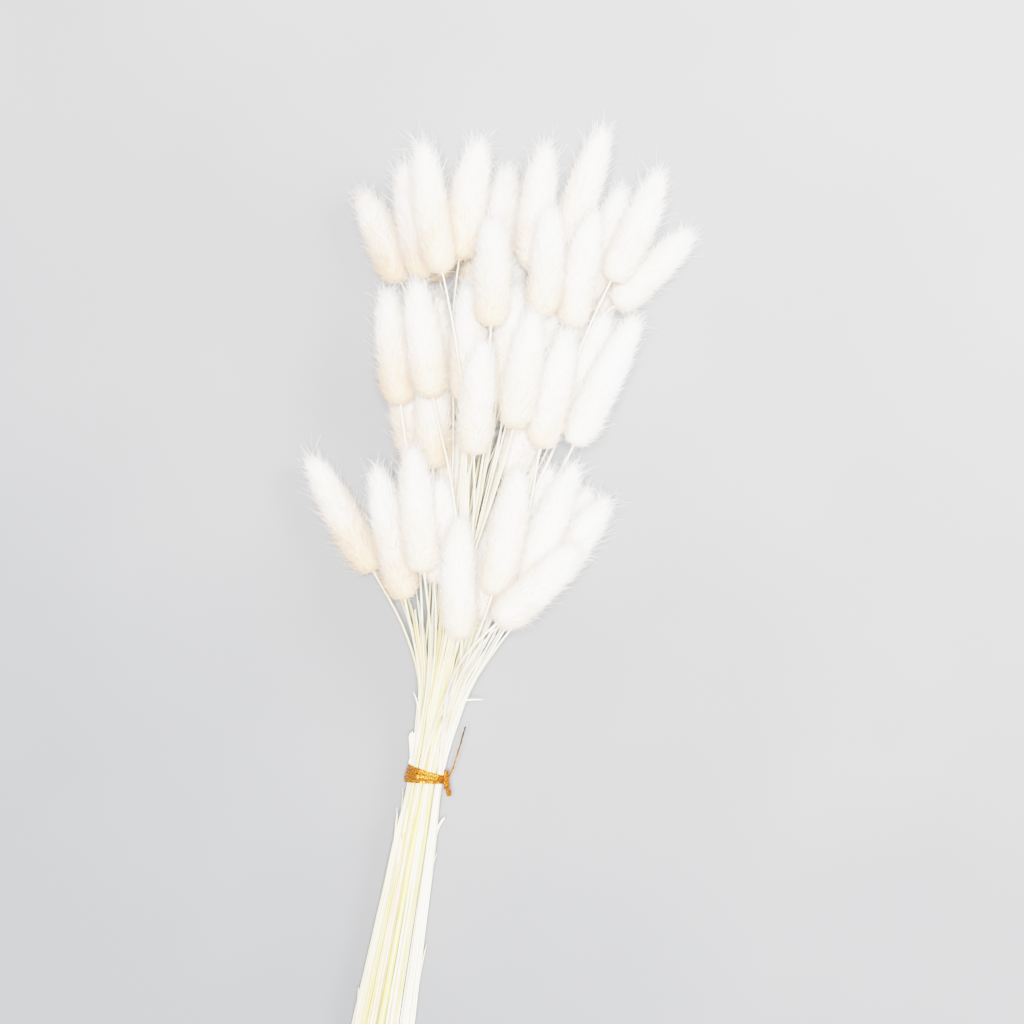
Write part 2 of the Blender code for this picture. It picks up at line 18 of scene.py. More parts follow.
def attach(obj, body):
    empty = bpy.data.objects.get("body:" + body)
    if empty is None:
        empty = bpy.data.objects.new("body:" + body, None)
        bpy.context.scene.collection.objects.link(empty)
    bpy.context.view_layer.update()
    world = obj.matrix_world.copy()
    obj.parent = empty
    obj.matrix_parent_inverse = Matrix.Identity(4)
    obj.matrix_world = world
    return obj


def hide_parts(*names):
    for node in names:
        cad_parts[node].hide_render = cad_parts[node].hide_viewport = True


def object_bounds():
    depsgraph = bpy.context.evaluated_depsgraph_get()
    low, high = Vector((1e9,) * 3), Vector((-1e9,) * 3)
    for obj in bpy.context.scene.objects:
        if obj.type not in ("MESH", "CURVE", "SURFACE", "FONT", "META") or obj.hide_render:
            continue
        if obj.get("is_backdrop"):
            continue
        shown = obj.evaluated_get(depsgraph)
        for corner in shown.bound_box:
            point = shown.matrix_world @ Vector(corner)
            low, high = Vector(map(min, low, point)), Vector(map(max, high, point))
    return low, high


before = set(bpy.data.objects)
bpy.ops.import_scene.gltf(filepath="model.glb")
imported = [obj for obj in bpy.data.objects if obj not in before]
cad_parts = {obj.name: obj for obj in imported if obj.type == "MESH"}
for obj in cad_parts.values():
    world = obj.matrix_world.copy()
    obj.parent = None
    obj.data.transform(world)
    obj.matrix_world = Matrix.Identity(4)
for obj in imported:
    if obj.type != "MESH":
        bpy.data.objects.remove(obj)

MM = 0.001
cad_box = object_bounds()
head_nodes = sorted(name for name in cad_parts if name.startswith("head_"))
stem_nodes = sorted(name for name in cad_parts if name.startswith("stems_"))
print("heads:", len(head_nodes), "groups of stems:", len(stem_nodes))

# %% [markdown]
# Where every stalk lies.
#
# The heads' axes and the stems' curves could be read back from the plain solids, but a rule is
# cleaner. This is the same rule that placed the solids: heads seen from above are listed, a few rows
# lie underneath, and a settling step pushes all stalks clear of each other. It works in millimetres,
# with x across the bunch, y along it from the tie and z up from the surface. The same seed gives the
# same bunch, so hair and stems land exactly on their solids.

# %% The layout rule
# Heads on show: across, along, lean to the right in degrees, length, height of the middle.
HEADS_ON_SHOW = [
    (-58, 223, -34, 44, 22), (-36, 236, -20, 60, 38), (-46, 231, -20, 52, 22), (-21, 243, -3, 54, 38),
    (-8, 238, -4, 50, 22), (5, 245, -2, 55, 38), (23, 256, 8, 57, 38), (45, 244, 16, 53, 38),
    (36, 236, 10, 52, 22), (54, 229, 38, 48, 22), (12, 222, -6, 48, 50), (28, 222, 2, 52, 42),
    (-9, 214, -10, 50, 38), (1, 210, 0, 48, 26), (21, 200, 5, 48, 28),
    (-42, 177, -19, 52, 34), (-34, 156, -18, 50, 20), (-31, 182, -20, 53, 42), (-12, 184, -10, 52, 34),
    (2, 187, -3, 52, 28), (-2, 161, -5, 50, 44), (11, 176, 0, 52, 50), (24, 171, 4, 54, 42),
    (32, 181, 11, 56, 30), (43, 178, 17, 63, 38), (-22, 153, -10, 50, 32), (15, 155, 4, 48, 30),
    (-55, 104, -39, 59, 18), (-31, 100, -23, 60, 36), (-20, 112, -17, 56, 46), (2, 87, -10, 54, 46),
    (17, 109, 0, 57, 46), (32, 114, 12, 60, 40), (38, 109, 18, 54, 18), (44, 110, 27, 46, 26),
    (29, 90, 38, 50, 42), (25, 114, 5, 54, 26), (-13, 104, -8, 46, 30), (11, 95, 3, 52, 32),
]
# Rows of heads underneath: along, how many, how far out the row goes, lean per mm across, length.
ROWS_UNDER = [(228, 4, 40, 0.50, 50), (184, 3, 27, 0.45, 54), (118, 2, 12, 0.70, 54)]

HEAD_RADIUS = 8.0
HEAD_BOW = 1.2
RESTING_HEIGHT = 7.3
CUT_END = -174.0
CUT_SPREAD = 14.0
CUT_NUDGE = 1.5
SPLAY = 2.3
# How much nearer to its place in the tie a stem keeps halfway up, as a share of its way outwards.
HUG = 0.15
STEM_RADIUS_CUT = 0.95
STEM_RADIUS_TIE = 0.78
STEM_RADIUS_TOP = 0.55
TIE_HEIGHT = 11.5
TIE_HALF = np.array([7.7, 6.1])
INSIDE_TIE = TIE_HALF - STEM_RADIUS_TIE - 0.05
GROUP_COLUMNS = 5
SEED = 5
# Rows underneath: how far the draws for a head's place and length reach.
ROW_SPREAD = 8.0
LENGTH_SPREAD = 4.0
# How steeply heads rise at first, as a share of the straight way from the tie.
FIRST_RISE = 0.35
# Stems in the tie: slopes of the outermost ones, spacing, push and rounds to spread them.
EDGE_SLOPES = np.array([0.55, 0.34])
TIE_SPACING = 1.85
TIE_PUSH = 0.3
TIE_ROUNDS = 400
# A stem above and below the tie: its slope as it leaves, and how high the cut ends stack.
LEAVING_SLOPE = 0.45
FOOT_SHARE = 0.06
CUT_STACK = 1.15
SWAY_FADE = 40.0

# Settling: the clearance that it aims at, and how deep neighbours in a group press into each other.
CLEARANCE = 0.40
PRESSED = 1.05
RINGS = np.array([CUT_END, -115, -60, -22, -7, 7, 20, 40, 60, 80, 104, 128, 152, 176, 200, 224])
SAMPLES = np.arange(CUT_END + 2, RINGS[-1], 4.0)
AT_TIE = np.abs(SAMPLES) <= 8
BALL_SHARES = (np.arange(9) + 0.5) / 9
ROUNDS = 600
COOLING = 0.8
REFRESH = 15
GROUP_CLEARANCE = 0.12
DRAWN_SLACK = 0.1
# How near things are looked for, and the radius below which part of a head is passed over.
NEAR_STEM = 4.0
NEAR_HEAD = 6.0
SMALL_BALL = 0.5
# Shares of an overlap that are given way to in one round.
HEAD_GIVES_HEAD = 0.65
STEM_GIVES_HEAD = 0.8
HEAD_GIVES_STEM = 0.3
SWAY_PUSH = 1.4
SWAY_HOLD = 0.6
UNBEND = 0.35
UNBEND_LEAST = 0.15
SWAY_RETURN = 0.02
# Heads: how they shift, tilt and return across and in height, and how fast they sink.
HEAD_SHIFT = np.array([0.7, 1.0])
RISE_TURN, RISE_LIMIT, RISE_RETURN = 6, 0.008, 0.01
LEAN_TURN, LEAN_LIMIT, LEAN_RETURN = 2, 0.003, 0.04
HEAD_RETURN = np.array([0.05, 0.01])
SINKING = 0.04
FLATTENED = 0.92


def head_envelope(share):
    """Width of a head from its base, 0, to its tip, 1, as a share of its widest."""
    base = np.sqrt(np.clip(1 - np.clip((0.20 - share) / 0.20, 0, 1) ** 2, 0, 1))
    tip = np.sqrt(np.clip(1 - np.clip((share - 0.42) / 0.58, 0, 1) ** 2.4, 0, 1))
    return base * tip


def cubic(share, start, start_run, end, end_run):
    """A smooth curve between two values; the runs are its slopes there times the distance between."""
    value = (2 * share ** 3 - 3 * share ** 2 + 1) * start
    value = value + (share ** 3 - 2 * share ** 2 + share) * start_run
    value = value + (3 * share ** 2 - 2 * share ** 3) * end
    return value + (share ** 3 - share ** 2) * end_run


def stem_radius(y):
    """A stem tapers from its cut end to its head."""
    return np.interp(y, [CUT_END, 0.0, RINGS[-1]], [STEM_RADIUS_CUT, STEM_RADIUS_TIE, STEM_RADIUS_TOP])


class Bunch:
    """Where the stalks lie: heads as bowed rods, stems as points at the stations in RINGS."""

    def __init__(self):
        draw = np.random.default_rng(SEED)
        rows = list(HEADS_ON_SHOW)
        for along, count, half_width, lean_per_mm, length in ROWS_UNDER:
            for place in np.linspace(-half_width, half_width, count):
                at = along + draw.uniform(-ROW_SPREAD, ROW_SPREAD)
                long = length + draw.uniform(-LENGTH_SPREAD, LENGTH_SPREAD)
                rows.append((place, at, lean_per_mm * place, long, RESTING_HEIGHT))
        rows = np.array(rows, float)
        self.count = len(rows)
        self.wanted = rows[:, [0, 4]]
        self.middle = self.wanted.copy()
        self.along = rows[:, 1]
        self.wanted_lean = np.tan(np.radians(rows[:, 2]))
        self.lean = self.wanted_lean.copy()
        self.length = rows[:, 3]
        self.rise = FIRST_RISE * (self.middle[:, 1] - TIE_HEIGHT) / self.along
        self.bow = draw.uniform(-HEAD_BOW, HEAD_BOW, self.count)
        self.cut = CUT_END + draw.uniform(0, CUT_SPREAD, self.count)
        self.cut_nudge = draw.uniform(-CUT_NUDGE, CUT_NUDGE, (self.count, 2))
        self.sway = np.zeros((self.count, len(RINGS), 2))
        self.place_in_tie()
        self.group_neighbours()

    def place_in_tie(self):
        """A stem sits in the tie on the side that its head leans to, so that stems don't cross."""
        toward = np.stack([self.middle[:, 0], self.middle[:, 1] - TIE_HEIGHT], 1)
        toward /= self.along[:, None] * EDGE_SLOPES
        rank = np.empty(self.count)
        rank[np.argsort(np.linalg.norm(toward, axis=1))] = (np.arange(self.count) + 0.5) / self.count
        angle = np.arctan2(toward[:, 1], toward[:, 0])
        self.tie = np.stack([np.cos(angle), np.sin(angle)], 1) * np.sqrt(rank)[:, None] * INSIDE_TIE
        for _ in range(TIE_ROUNDS):
            apart = self.tie[:, None] - self.tie[None]
            distance = np.linalg.norm(apart, axis=2) + 99 * np.eye(self.count)
            push = np.clip(TIE_SPACING - distance, 0, None)
            self.tie += TIE_PUSH * (apart / distance[..., None] * push[..., None]).sum(1)
            self.tie /= np.maximum(np.linalg.norm(self.tie / INSIDE_TIE, axis=1), 1)[:, None]

    def group_neighbours(self):
        """Columns across the tie, each in a lower and an upper half, with links inside each group."""
        column = np.argsort(np.argsort(self.tie[:, 0])) * GROUP_COLUMNS // self.count
        self.group = np.zeros(self.count, int)
        for number in range(GROUP_COLUMNS):
            members = np.where(column == number)[0]
            half = np.argsort(np.argsort(self.tie[members, 1])) * 2 // len(members)
            self.group[members] = 2 * number + half
        self.linked = np.zeros((self.count, self.count), bool)
        for number in range(2 * GROUP_COLUMNS):
            free = list(np.where(self.group == number)[0])
            joined = [free.pop(0)]
            while free:
                pairs = [(np.linalg.norm(self.tie[a] - self.tie[b]), a, b) for a in joined for b in free]
                _, a, b = min(pairs)
                self.linked[a, b] = True
                self.linked[b, a] = True
                joined.append(b)
                free.remove(b)

    def head_points(self, shares):
        """Points on each head's bowed axis, at shares of its length from the base."""
        axis = np.stack([self.lean, np.ones(self.count), self.rise], 1)
        axis *= (self.length / np.linalg.norm(axis, axis=1))[:, None]
        middle = np.stack([self.middle[:, 0], self.along, self.middle[:, 1]], 1)
        points = middle[:, None] + (shares - 0.5)[None, :, None] * axis[:, None]
        points[..., 0] += self.bow[:, None] * (1 - (2 * shares - 1) ** 2)[None]
        return points

    def stem_rings(self):
        """Each stem at RINGS: an easy curve from the tie to its head, a slow splay below, and its sway."""
        ends = self.head_points(np.array([0.0, FOOT_SHARE]))
        foot = ends[:, 0, [0, 2]]
        reach = ends[:, 0, 1]
        run = ends[:, 1] - ends[:, 0]
        end_slope = run[:, [0, 2]] / run[:, 1:2]
        tie = self.tie + np.array([0, TIE_HEIGHT])
        start_slope = LEAVING_SLOPE * (foot - tie) / reach[:, None]
        share = np.clip(RINGS[None] / reach[:, None], 0, None)[..., None]
        start_run, end_run = reach[:, None] * start_slope, reach[:, None] * end_slope
        curve = cubic(share, tie[:, None], start_run[:, None], foot[:, None], end_run[:, None])
        curve -= HUG * (foot - tie)[:, None] * 16 * share ** 2 * (1 - share) ** 2
        past = (RINGS[None] - reach[:, None])[..., None]
        curve = np.where(share > 1, foot[:, None] + end_slope[:, None] * past, curve)
        down = np.clip(RINGS / CUT_END, 0, 1)[None]
        end_height = STEM_RADIUS_CUT + CUT_STACK * (self.tie[:, 1] + INSIDE_TIE[1])
        end = np.stack([SPLAY * self.tie[:, 0], end_height], 1) + self.cut_nudge
        below = tie[:, None] * (1 - down[..., None]) + end[:, None] * down[..., None]
        curve = np.where((RINGS < 0)[None, :, None], below, curve)
        fade = np.clip((reach[:, None] - RINGS[None]) / SWAY_FADE, 0, 1)
        return curve + self.sway * fade[..., None]


def add_rows(total, index, values):
    """Adds each row of values to the row of total that index gives."""
    for column in range(values.shape[1]):
        total[:, column] += np.bincount(index, values[:, column], len(total))
    return total


def mean_push(count, index, push, presses):
    """The mean push on each of so many things, over the touches that press on it."""
    hits = np.maximum(np.bincount(index, presses, count), 1)
    return add_rows(np.zeros((count, 3)), index, push) / hits[:, None]


class Settling:
    """Pushes the stalks clear of each other in many small rounds, as a bunch settles when laid down."""

    def __init__(self, bunch):
        self.bunch = bunch
        count = bunch.count
        self.one, self.two = np.triu_indices(count, 1)
        self.link = bunch.linked[self.one, self.two]
        same = bunch.group[self.one] == bunch.group[self.two]
        self.radii = stem_radius(SAMPLES)
        self.need = 2 * self.radii[:, None] + np.where(same, GROUP_CLEARANCE, CLEARANCE)[None]
        self.need[AT_TIE] = np.where(self.link, PRESSED, self.need[AT_TIE])
        self.ball_radius = np.tile(HEAD_RADIUS * head_envelope(BALL_SHARES), count)
        self.ball_owner = np.repeat(np.arange(count), len(BALL_SHARES))
        left = np.clip(np.searchsorted(RINGS, SAMPLES) - 1, 0, len(RINGS) - 2)
        share = (SAMPLES - RINGS[left]) / (RINGS[left + 1] - RINGS[left])
        self.weights = np.zeros((len(SAMPLES), len(RINGS)))
        self.weights[np.arange(len(SAMPLES)), left] = 1 - share
        self.weights[np.arange(len(SAMPLES)), left + 1] = share

    def take_places(self):
        """Sample points along the stems and balls along the heads."""
        self.points = np.einsum("fk,ikc->fic", self.weights, self.bunch.stem_rings())
        self.slope = np.gradient(self.points, SAMPLES, axis=0)
        reach = self.bunch.head_points(np.array([0.0]))[:, 0, 1]
        self.there = (SAMPLES[:, None] >= self.bunch.cut) & (SAMPLES[:, None] <= reach - 0.5)
        along = np.repeat(SAMPLES[:, None], self.bunch.count, 1)
        self.cloud = np.stack([self.points[..., 0], along, self.points[..., 1]], 2).reshape(-1, 3)
        self.balls = self.bunch.head_points(BALL_SHARES).reshape(-1, 3)

    def find_neighbours(self):
        """Lists what is near enough to touch in the next rounds."""
        one, two = self.one, self.two
        near = np.linalg.norm(self.points[:, one] - self.points[:, two], axis=2) < NEAR_STEM
        self.station, self.pair = np.where(near & self.there[:, one] & self.there[:, two])
        gap = np.linalg.norm(self.balls[:, None] - self.balls[None], axis=2)
        near = gap < 2 * HEAD_RADIUS + NEAR_HEAD
        near &= self.ball_owner[:, None] < self.ball_owner[None]
        self.ball_one, self.ball_two = np.where(near)
        gap = np.linalg.norm(self.cloud[:, None] - self.balls[None], axis=2)
        near = (gap < HEAD_RADIUS + NEAR_STEM) & (self.ball_radius > SMALL_BALL)
        near &= self.there.reshape(-1, 1)
        owner = np.tile(np.arange(self.bunch.count), len(SAMPLES))
        near &= owner[:, None] != self.ball_owner[None]
        self.sample, self.touched = np.where(near)

    def part_stems(self):
        """Stem from stem, square to their common run; linked stems are drawn together at the tie."""
        count = self.bunch.count
        one, two = self.one[self.pair], self.two[self.pair]
        apart = self.points[self.station, one] - self.points[self.station, two]
        run = 0.5 * (self.slope[self.station, one] + self.slope[self.station, two])
        along = (apart * run).sum(1) / np.sqrt(1 + (run ** 2).sum(1))
        flat = np.linalg.norm(apart, axis=1) + 1e-6
        distance = np.sqrt(np.maximum(flat ** 2 - along ** 2, 1e-6))
        lack = np.clip(self.need[self.station, self.pair] - distance, 0, None)
        drawn = self.link[self.pair] & AT_TIE[self.station]
        pull = np.where(drawn, np.clip(distance - PRESSED - DRAWN_SLACK, 0, None), 0)
        push = apart / flat[:, None] * (lack - pull)[:, None] * 0.5
        self.stem_push = np.zeros((len(self.cloud), 2))
        add_rows(self.stem_push, self.station * count + one, push)
        add_rows(self.stem_push, self.station * count + two, -push)
        return lack.max()

    def part_heads(self):
        """Head from head."""
        apart = self.balls[self.ball_one] - self.balls[self.ball_two]
        distance = np.linalg.norm(apart, axis=1) + 1e-6
        lack = self.ball_radius[self.ball_one] + self.ball_radius[self.ball_two] + CLEARANCE - distance
        lack = np.clip(lack, 0, None)
        push = apart / distance[:, None] * lack[:, None] * HEAD_GIVES_HEAD
        total = add_rows(np.zeros((len(self.balls), 3)), self.ball_one, push)
        add_rows(total, self.ball_two, -push)
        hits = np.bincount(self.ball_one, lack > 0, len(total))
        hits += np.bincount(self.ball_two, lack > 0, len(total))
        self.ball_push = total / np.maximum(hits, 1)[:, None]
        return lack.max()

    def part_heads_from_stems(self):
        """A stem gives way to a head more than the head does."""
        apart = self.cloud[self.sample] - self.balls[self.touched]
        distance = np.linalg.norm(apart, axis=1) + 1e-6
        thick = self.radii[self.sample // self.bunch.count]
        lack = np.clip(self.ball_radius[self.touched] + thick + CLEARANCE - distance, 0, None)
        push = apart / distance[:, None] * lack[:, None]
        on_stems = mean_push(len(self.cloud), self.sample, push, lack > 0)
        on_heads = mean_push(len(self.balls), self.touched, push, lack > 0)
        self.stem_push += STEM_GIVES_HEAD * on_stems[:, [0, 2]]
        self.ball_push -= HEAD_GIVES_STEM * on_heads
        return lack.max()

    def move_stems(self, cool):
        """The surface and the tie hold the stems too, and a stem bends as gently as it can."""
        push = self.stem_push.reshape(len(SAMPLES), self.bunch.count, 2)
        push[..., 1] += np.clip(self.radii[:, None] - self.points[..., 1], 0, None)
        from_middle = self.points[AT_TIE] - np.array([0, TIE_HEIGHT])
        over = np.maximum(np.linalg.norm(from_middle / INSIDE_TIE, axis=2), 1)[..., None]
        push[AT_TIE] += from_middle * (1 / over - 1)
        push[~self.there] = 0
        pushed = np.linalg.norm(push, axis=2) > 1e-9
        share = np.einsum("fk,fi->ik", self.weights, pushed) + SWAY_HOLD
        sway = self.bunch.sway
        sway += SWAY_PUSH * np.einsum("fk,fic->ikc", self.weights, push) / share[..., None]
        bend = 0.5 * (sway[:, :-2] + sway[:, 2:]) - sway[:, 1:-1]
        sway[:, 1:-1] += UNBEND * (UNBEND_LEAST + cool) * bend
        sway *= 1 - SWAY_RETURN * cool

    def move_heads(self, cool):
        """A head shifts and tilts under what presses on it, and sinks until something holds it."""
        bunch = self.bunch
        push = self.ball_push.reshape(bunch.count, len(BALL_SHARES), 3)
        pressed = np.maximum((np.linalg.norm(push, axis=2) > 1e-6).sum(1), 1)[:, None]
        shift = push.sum(1) / pressed
        turn = (push * (BALL_SHARES - 0.5)[None, :, None]).sum(1) / pressed
        bunch.middle += shift[:, [0, 2]] * HEAD_SHIFT
        bunch.rise += np.clip(RISE_TURN * turn[:, 2] / bunch.length, -RISE_LIMIT, RISE_LIMIT)
        bunch.lean += np.clip(LEAN_TURN * turn[:, 0] / bunch.length, -LEAN_LIMIT, LEAN_LIMIT)
        bunch.middle += (bunch.wanted - bunch.middle) * HEAD_RETURN * cool
        bunch.lean += LEAN_RETURN * cool * (bunch.wanted_lean - bunch.lean)
        bunch.rise *= 1 - RISE_RETURN * cool
        bunch.middle[:, 1] -= SINKING * cool
        lowest = (self.balls[:, 2] - FLATTENED * self.ball_radius).reshape(bunch.count, -1).min(1)
        bunch.middle[:, 1] += np.clip(-lowest, 0, None)

    def run(self):
        for number in range(ROUNDS):
            cool = max(0.0, 1 - number / (COOLING * ROUNDS))
            self.take_places()
            if number % REFRESH == 0:
                self.find_neighbours()
            lacks = self.part_stems(), self.part_heads(), self.part_heads_from_stems()
            self.move_stems(cool)
            self.move_heads(cool)
        print("left to clear, mm: stems %.2f, heads %.2f, both %.2f" % lacks)
        return self.bunch


bunch = Settling(Bunch()).run()
print("stalks laid out:", bunch.count)

# %% [markdown]
# Matching the rule to the model.
#
# The rule measures from the tie, and the model from the middle of its box. Each plain head has a
# point exactly at its base, its lowest along the stem, so comparing those points with the rule gives
# the shift. The middle value of 48 comparisons is safe from the few heads that lean a lot.

# %% Find the shift from the rule's zero to the model's
def lowest_point(name):
    places = np.array([vertex.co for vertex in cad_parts[name].data.vertices]) / MM
    return places[np.argmin(places[:, 1])]


BASES = bunch.head_points(np.array([0.0]))[:, 0]
STEMS = bunch.stem_rings()
found = np.array([lowest_point(name) for name in head_nodes])
SHIFT = np.median(found - BASES, axis=0)
SHIFT[2] = 0.0
misfit = np.abs(found - BASES - SHIFT).max(axis=1)
print("shift, mm:", np.round(SHIFT, 3), "heads that match to 0.01 mm:", int((misfit < 0.01).sum()))


def to_model(places):
    """Rule's millimetres to model's metres."""
    return (np.asarray(places, float) + SHIFT) * MM


# %% [markdown]
# Objects, meshes and the hand-over.
#
# Three short jobs come back for every piece: linking an object, making a mesh from the rule's points
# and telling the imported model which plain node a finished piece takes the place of.

# %% Helpers for pieces
def add_object(name, data):
    item = bpy.data.objects.new(name, data)
    bpy.context.scene.collection.objects.link(item)
    return item


def mesh_from(name, points, faces=(), edges=(), **values):
    """A mesh from points in millimetres, with a number stored at each point under each name."""
    mesh = bpy.data.meshes.new(name)
    mesh.from_pydata([tuple(point) for point in to_model(points)], edges, faces)
    for label, numbers in values.items():
        store_points(mesh, label, "FLOAT", np.broadcast_to(numbers, len(points)))
    return mesh


def store_points(mesh, name, kind, values):
    """Writes one value for each point of a mesh, to be read by a tree or a material."""
    field = "vector" if kind == "FLOAT_VECTOR" else "value"
    mesh.attributes.new(name, kind, "POINT").data.foreach_set(field, np.ravel(values))


def hand_over(piece, node):
    """A finished piece rides on the body and takes the place of a plain node."""
    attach(piece, "root")
    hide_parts(node)
    return piece


def triangles(piece):
    return sum(len(face.vertices) - 2 for face in piece.data.polygons)


print("plain triangles:", sum(triangles(item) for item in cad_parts.values()))

# %% [markdown]
# The view.
#
# The photograph looks square on at the bunch, which leans a little to the right in the picture. The
# bunch lies down here, so the camera looks straight down and is rolled by the same angle. A long
# lens from far away keeps the stems parallel, as the picture shows them. PICTURE_MM is how much
# of the surface the picture spans.

# %% Camera
PICTURE_MM = 430.0
PICTURE_ROLL = math.radians(10)
PICTURE_MIDDLE = (16.4, 117.2, 0.0)
LENS = 100.0
SENSOR = 36.0
SUBJECT_HEIGHT = 0.03

camera_data = bpy.data.cameras.new("camera")
camera_data.lens = LENS
camera_data.sensor_width = SENSOR
camera_data.clip_end = 10.0
camera = add_object("camera", camera_data)
distance = PICTURE_MM * MM * LENS / SENSOR
camera.location = Vector(to_model(PICTURE_MIDDLE)) + Vector((0, 0, distance + SUBJECT_HEIGHT))
camera.rotation_euler = (0, 0, PICTURE_ROLL)
bpy.context.scene.camera = camera
print("camera height, m:", round(camera.location.z, 3))

# %% [markdown]
# The exposure.
#
# The photograph is bright: white heads, pale floor and even the gaps between the heads lie close
# together near the top of its range, and nothing is burnt out. That is what film does with a long
# exposure: it lifts the shadows and bends the highlights over. A curve gives the same bend here;
# EXPOSURE_CURVE lists the light that comes in and the share of full white that it becomes.

# %% Exposure curve
EXPOSURE_CURVE = [
    (0.0, 0.0), (0.1, 0.23), (0.25, 0.48), (0.5, 0.73), (0.9, 0.90), (1.3, 0.95), (2.0, 0.975),
]


def set_exposure(view):
    brightest, brightest_shown = EXPOSURE_CURVE[-1]
    view.view_transform = "Standard"
    view.use_curve_mapping = True
    mapping = view.curve_mapping
    mapping.white_level = (brightest, brightest, brightest)
    points = mapping.curves[3].points
    points[0].location = (0.0, 0.0)
    points[-1].location = (1.0, brightest_shown)
    for light, shown in EXPOSURE_CURVE[1:-1]:
        points.new(light / brightest, shown)
    mapping.update()


set_exposure(bpy.context.scene.view_settings)
print("exposure points:", len(EXPOSURE_CURVE))

# %% [markdown]
# Working with nodes.
#
# Materials and the shapes that repeat are both made of nodes, and the same few steps come back in
# all of them: add a node, give its inputs values or links, do a sum, mix two colours. Each step has
# a small helper, so that a tree below reads like a recipe. An input is given by its name or, where
# a node has several of one name, by its number. The first use is the world, the pale light from all
# round that fills the shadows.

# %% Helpers for nodes, and the world
WORLD_COLOUR = (0.93, 0.95, 1.0, 1.0)
WORLD_STRENGTH = 0.16


def give(tree, node, inputs):
    """Gives a node's inputs plain values, or links them to other nodes' outputs."""
    for name, value in inputs.items():
        if isinstance(value, bpy.types.NodeSocket):
            tree.links.new(value, node.inputs[name])
        else:
            node.inputs[name].default_value = value


def add_node(tree, kind, inputs=None, **settings):
    node = tree.nodes.new(kind)
    for key, value in settings.items():
        setattr(node, key, value)
    give(tree, node, inputs or {})
    return node


def maths(tree, operation, *values, **settings):
    """The result of a Math node."""
    inputs = dict(enumerate(values))
    return add_node(tree, "ShaderNodeMath", inputs, operation=operation, **settings).outputs[0]


def vector_maths(tree, operation, *values, result="Vector", **named):
    """The result of a Vector Math node."""
    inputs = {**dict(enumerate(values)), **named}
    return add_node(tree, "ShaderNodeVectorMath", inputs, operation=operation).outputs[result]


def mix_colours(tree, first, second, share):
    inputs = {"A": first, "B": second, "Factor": share}
    return add_node(tree, "ShaderNodeMix", inputs, data_type="RGBA").outputs["Result"]


def map_range(tree, value, low, high, to_low=0.0, to_high=1.0):
    inputs = {"Value": value, "From Min": low, "From Max": high, "To Min": to_low, "To Max": to_high}
    return add_node(tree, "ShaderNodeMapRange", inputs).outputs["Result"]


def bump(tree, height, strength, distance):
    inputs = {"Height": height, "Strength": strength, "Distance": distance}
    return add_node(tree, "ShaderNodeBump", inputs).outputs["Normal"]


def own_place(tree):
    """The place on the object itself, so that a pattern stays with its piece."""
    return add_node(tree, "ShaderNodeTexCoord").outputs["Object"]


def noise(tree, place, size):
    return add_node(tree, "ShaderNodeTexNoise", {"Vector": place, "Scale": 1 / size}).outputs["Fac"]


def stored(tree, name):
    """A value stored on the mesh, as a material reads it."""
    return add_node(tree, "ShaderNodeAttribute", attribute_name=name).outputs["Fac"]


def new_material(name):
    material = bpy.data.materials.new(name)
    material.use_nodes = True
    tree = material.node_tree
    return material, tree, tree.nodes["Principled BSDF"]


world = bpy.data.worlds.new("pale_world")
world.use_nodes = True
background = world.node_tree.nodes["Background"]
give(world.node_tree, background, {"Color": WORLD_COLOUR, "Strength": WORLD_STRENGTH})
bpy.context.scene.world = world
print("world strength:", round(background.inputs["Strength"].default_value, 3))

# %% [markdown]
# Floor and light.
#
# White on pale grey only reads if the light is soft and the subject is brighter than the floor. One
# lamp hangs above the camera, on its line, and lights just what the camera sees: the gaps between the
# heads stay bright and the shadows hide underneath. A pale world fills them, and a weak broad lamp at
# the upper right rounds the heads. The floor's colour is painted paler towards the upper right, a
# painted light for light that falls off towards the lower left; it is also mottled like a plastered
# wall, and has a faint grain as a bump. Far outside the picture, where the lamp hardly reaches, it is
# painted nearly white, so that a low view still has a pale backdrop.

# %% Floor and lights
FLOOR_SIZE = 12.0
FLOOR_DIM = (0.297, 0.303, 0.318, 1.0)
FLOOR_PALE = (0.440, 0.442, 0.452, 1.0)
FLOOR_FAR = (0.90, 0.905, 0.92, 1.0)
FAR_FROM, FAR_TO = 0.6, 3.0
# Painted light: how fast the floor's colour turns from dim to pale along x and y, per metre, for
# light that falls off towards the lower left, and its tone at the middle.
FLOOR_PAINTED_LIGHT = (0.94, 1.79, 0.0)
FLOOR_TONE = 0.38
MOTTLE_SIZE = 0.12
MOTTLE_SHARE = 0.5
GRAIN_SIZE = 1 / 90
GRAIN_STRENGTH = 0.08
GRAIN_HEIGHT = 0.001
LAMP_HEIGHT = 2.4
ABOVE = (camera.location.x, camera.location.y, LAMP_HEIGHT)
# Name, place, aim, size, power and colour.
LAMPS = [
    ("overhead", ABOVE, (*ABOVE[:2], 0), 0.45, 60.0, (1.0, 0.99, 0.98)),
    ("upper_right", (1.1, 0.9, 1.3), (0, 0.05, 0), 0.9, 11.0, (1.0, 0.99, 0.97)),
]


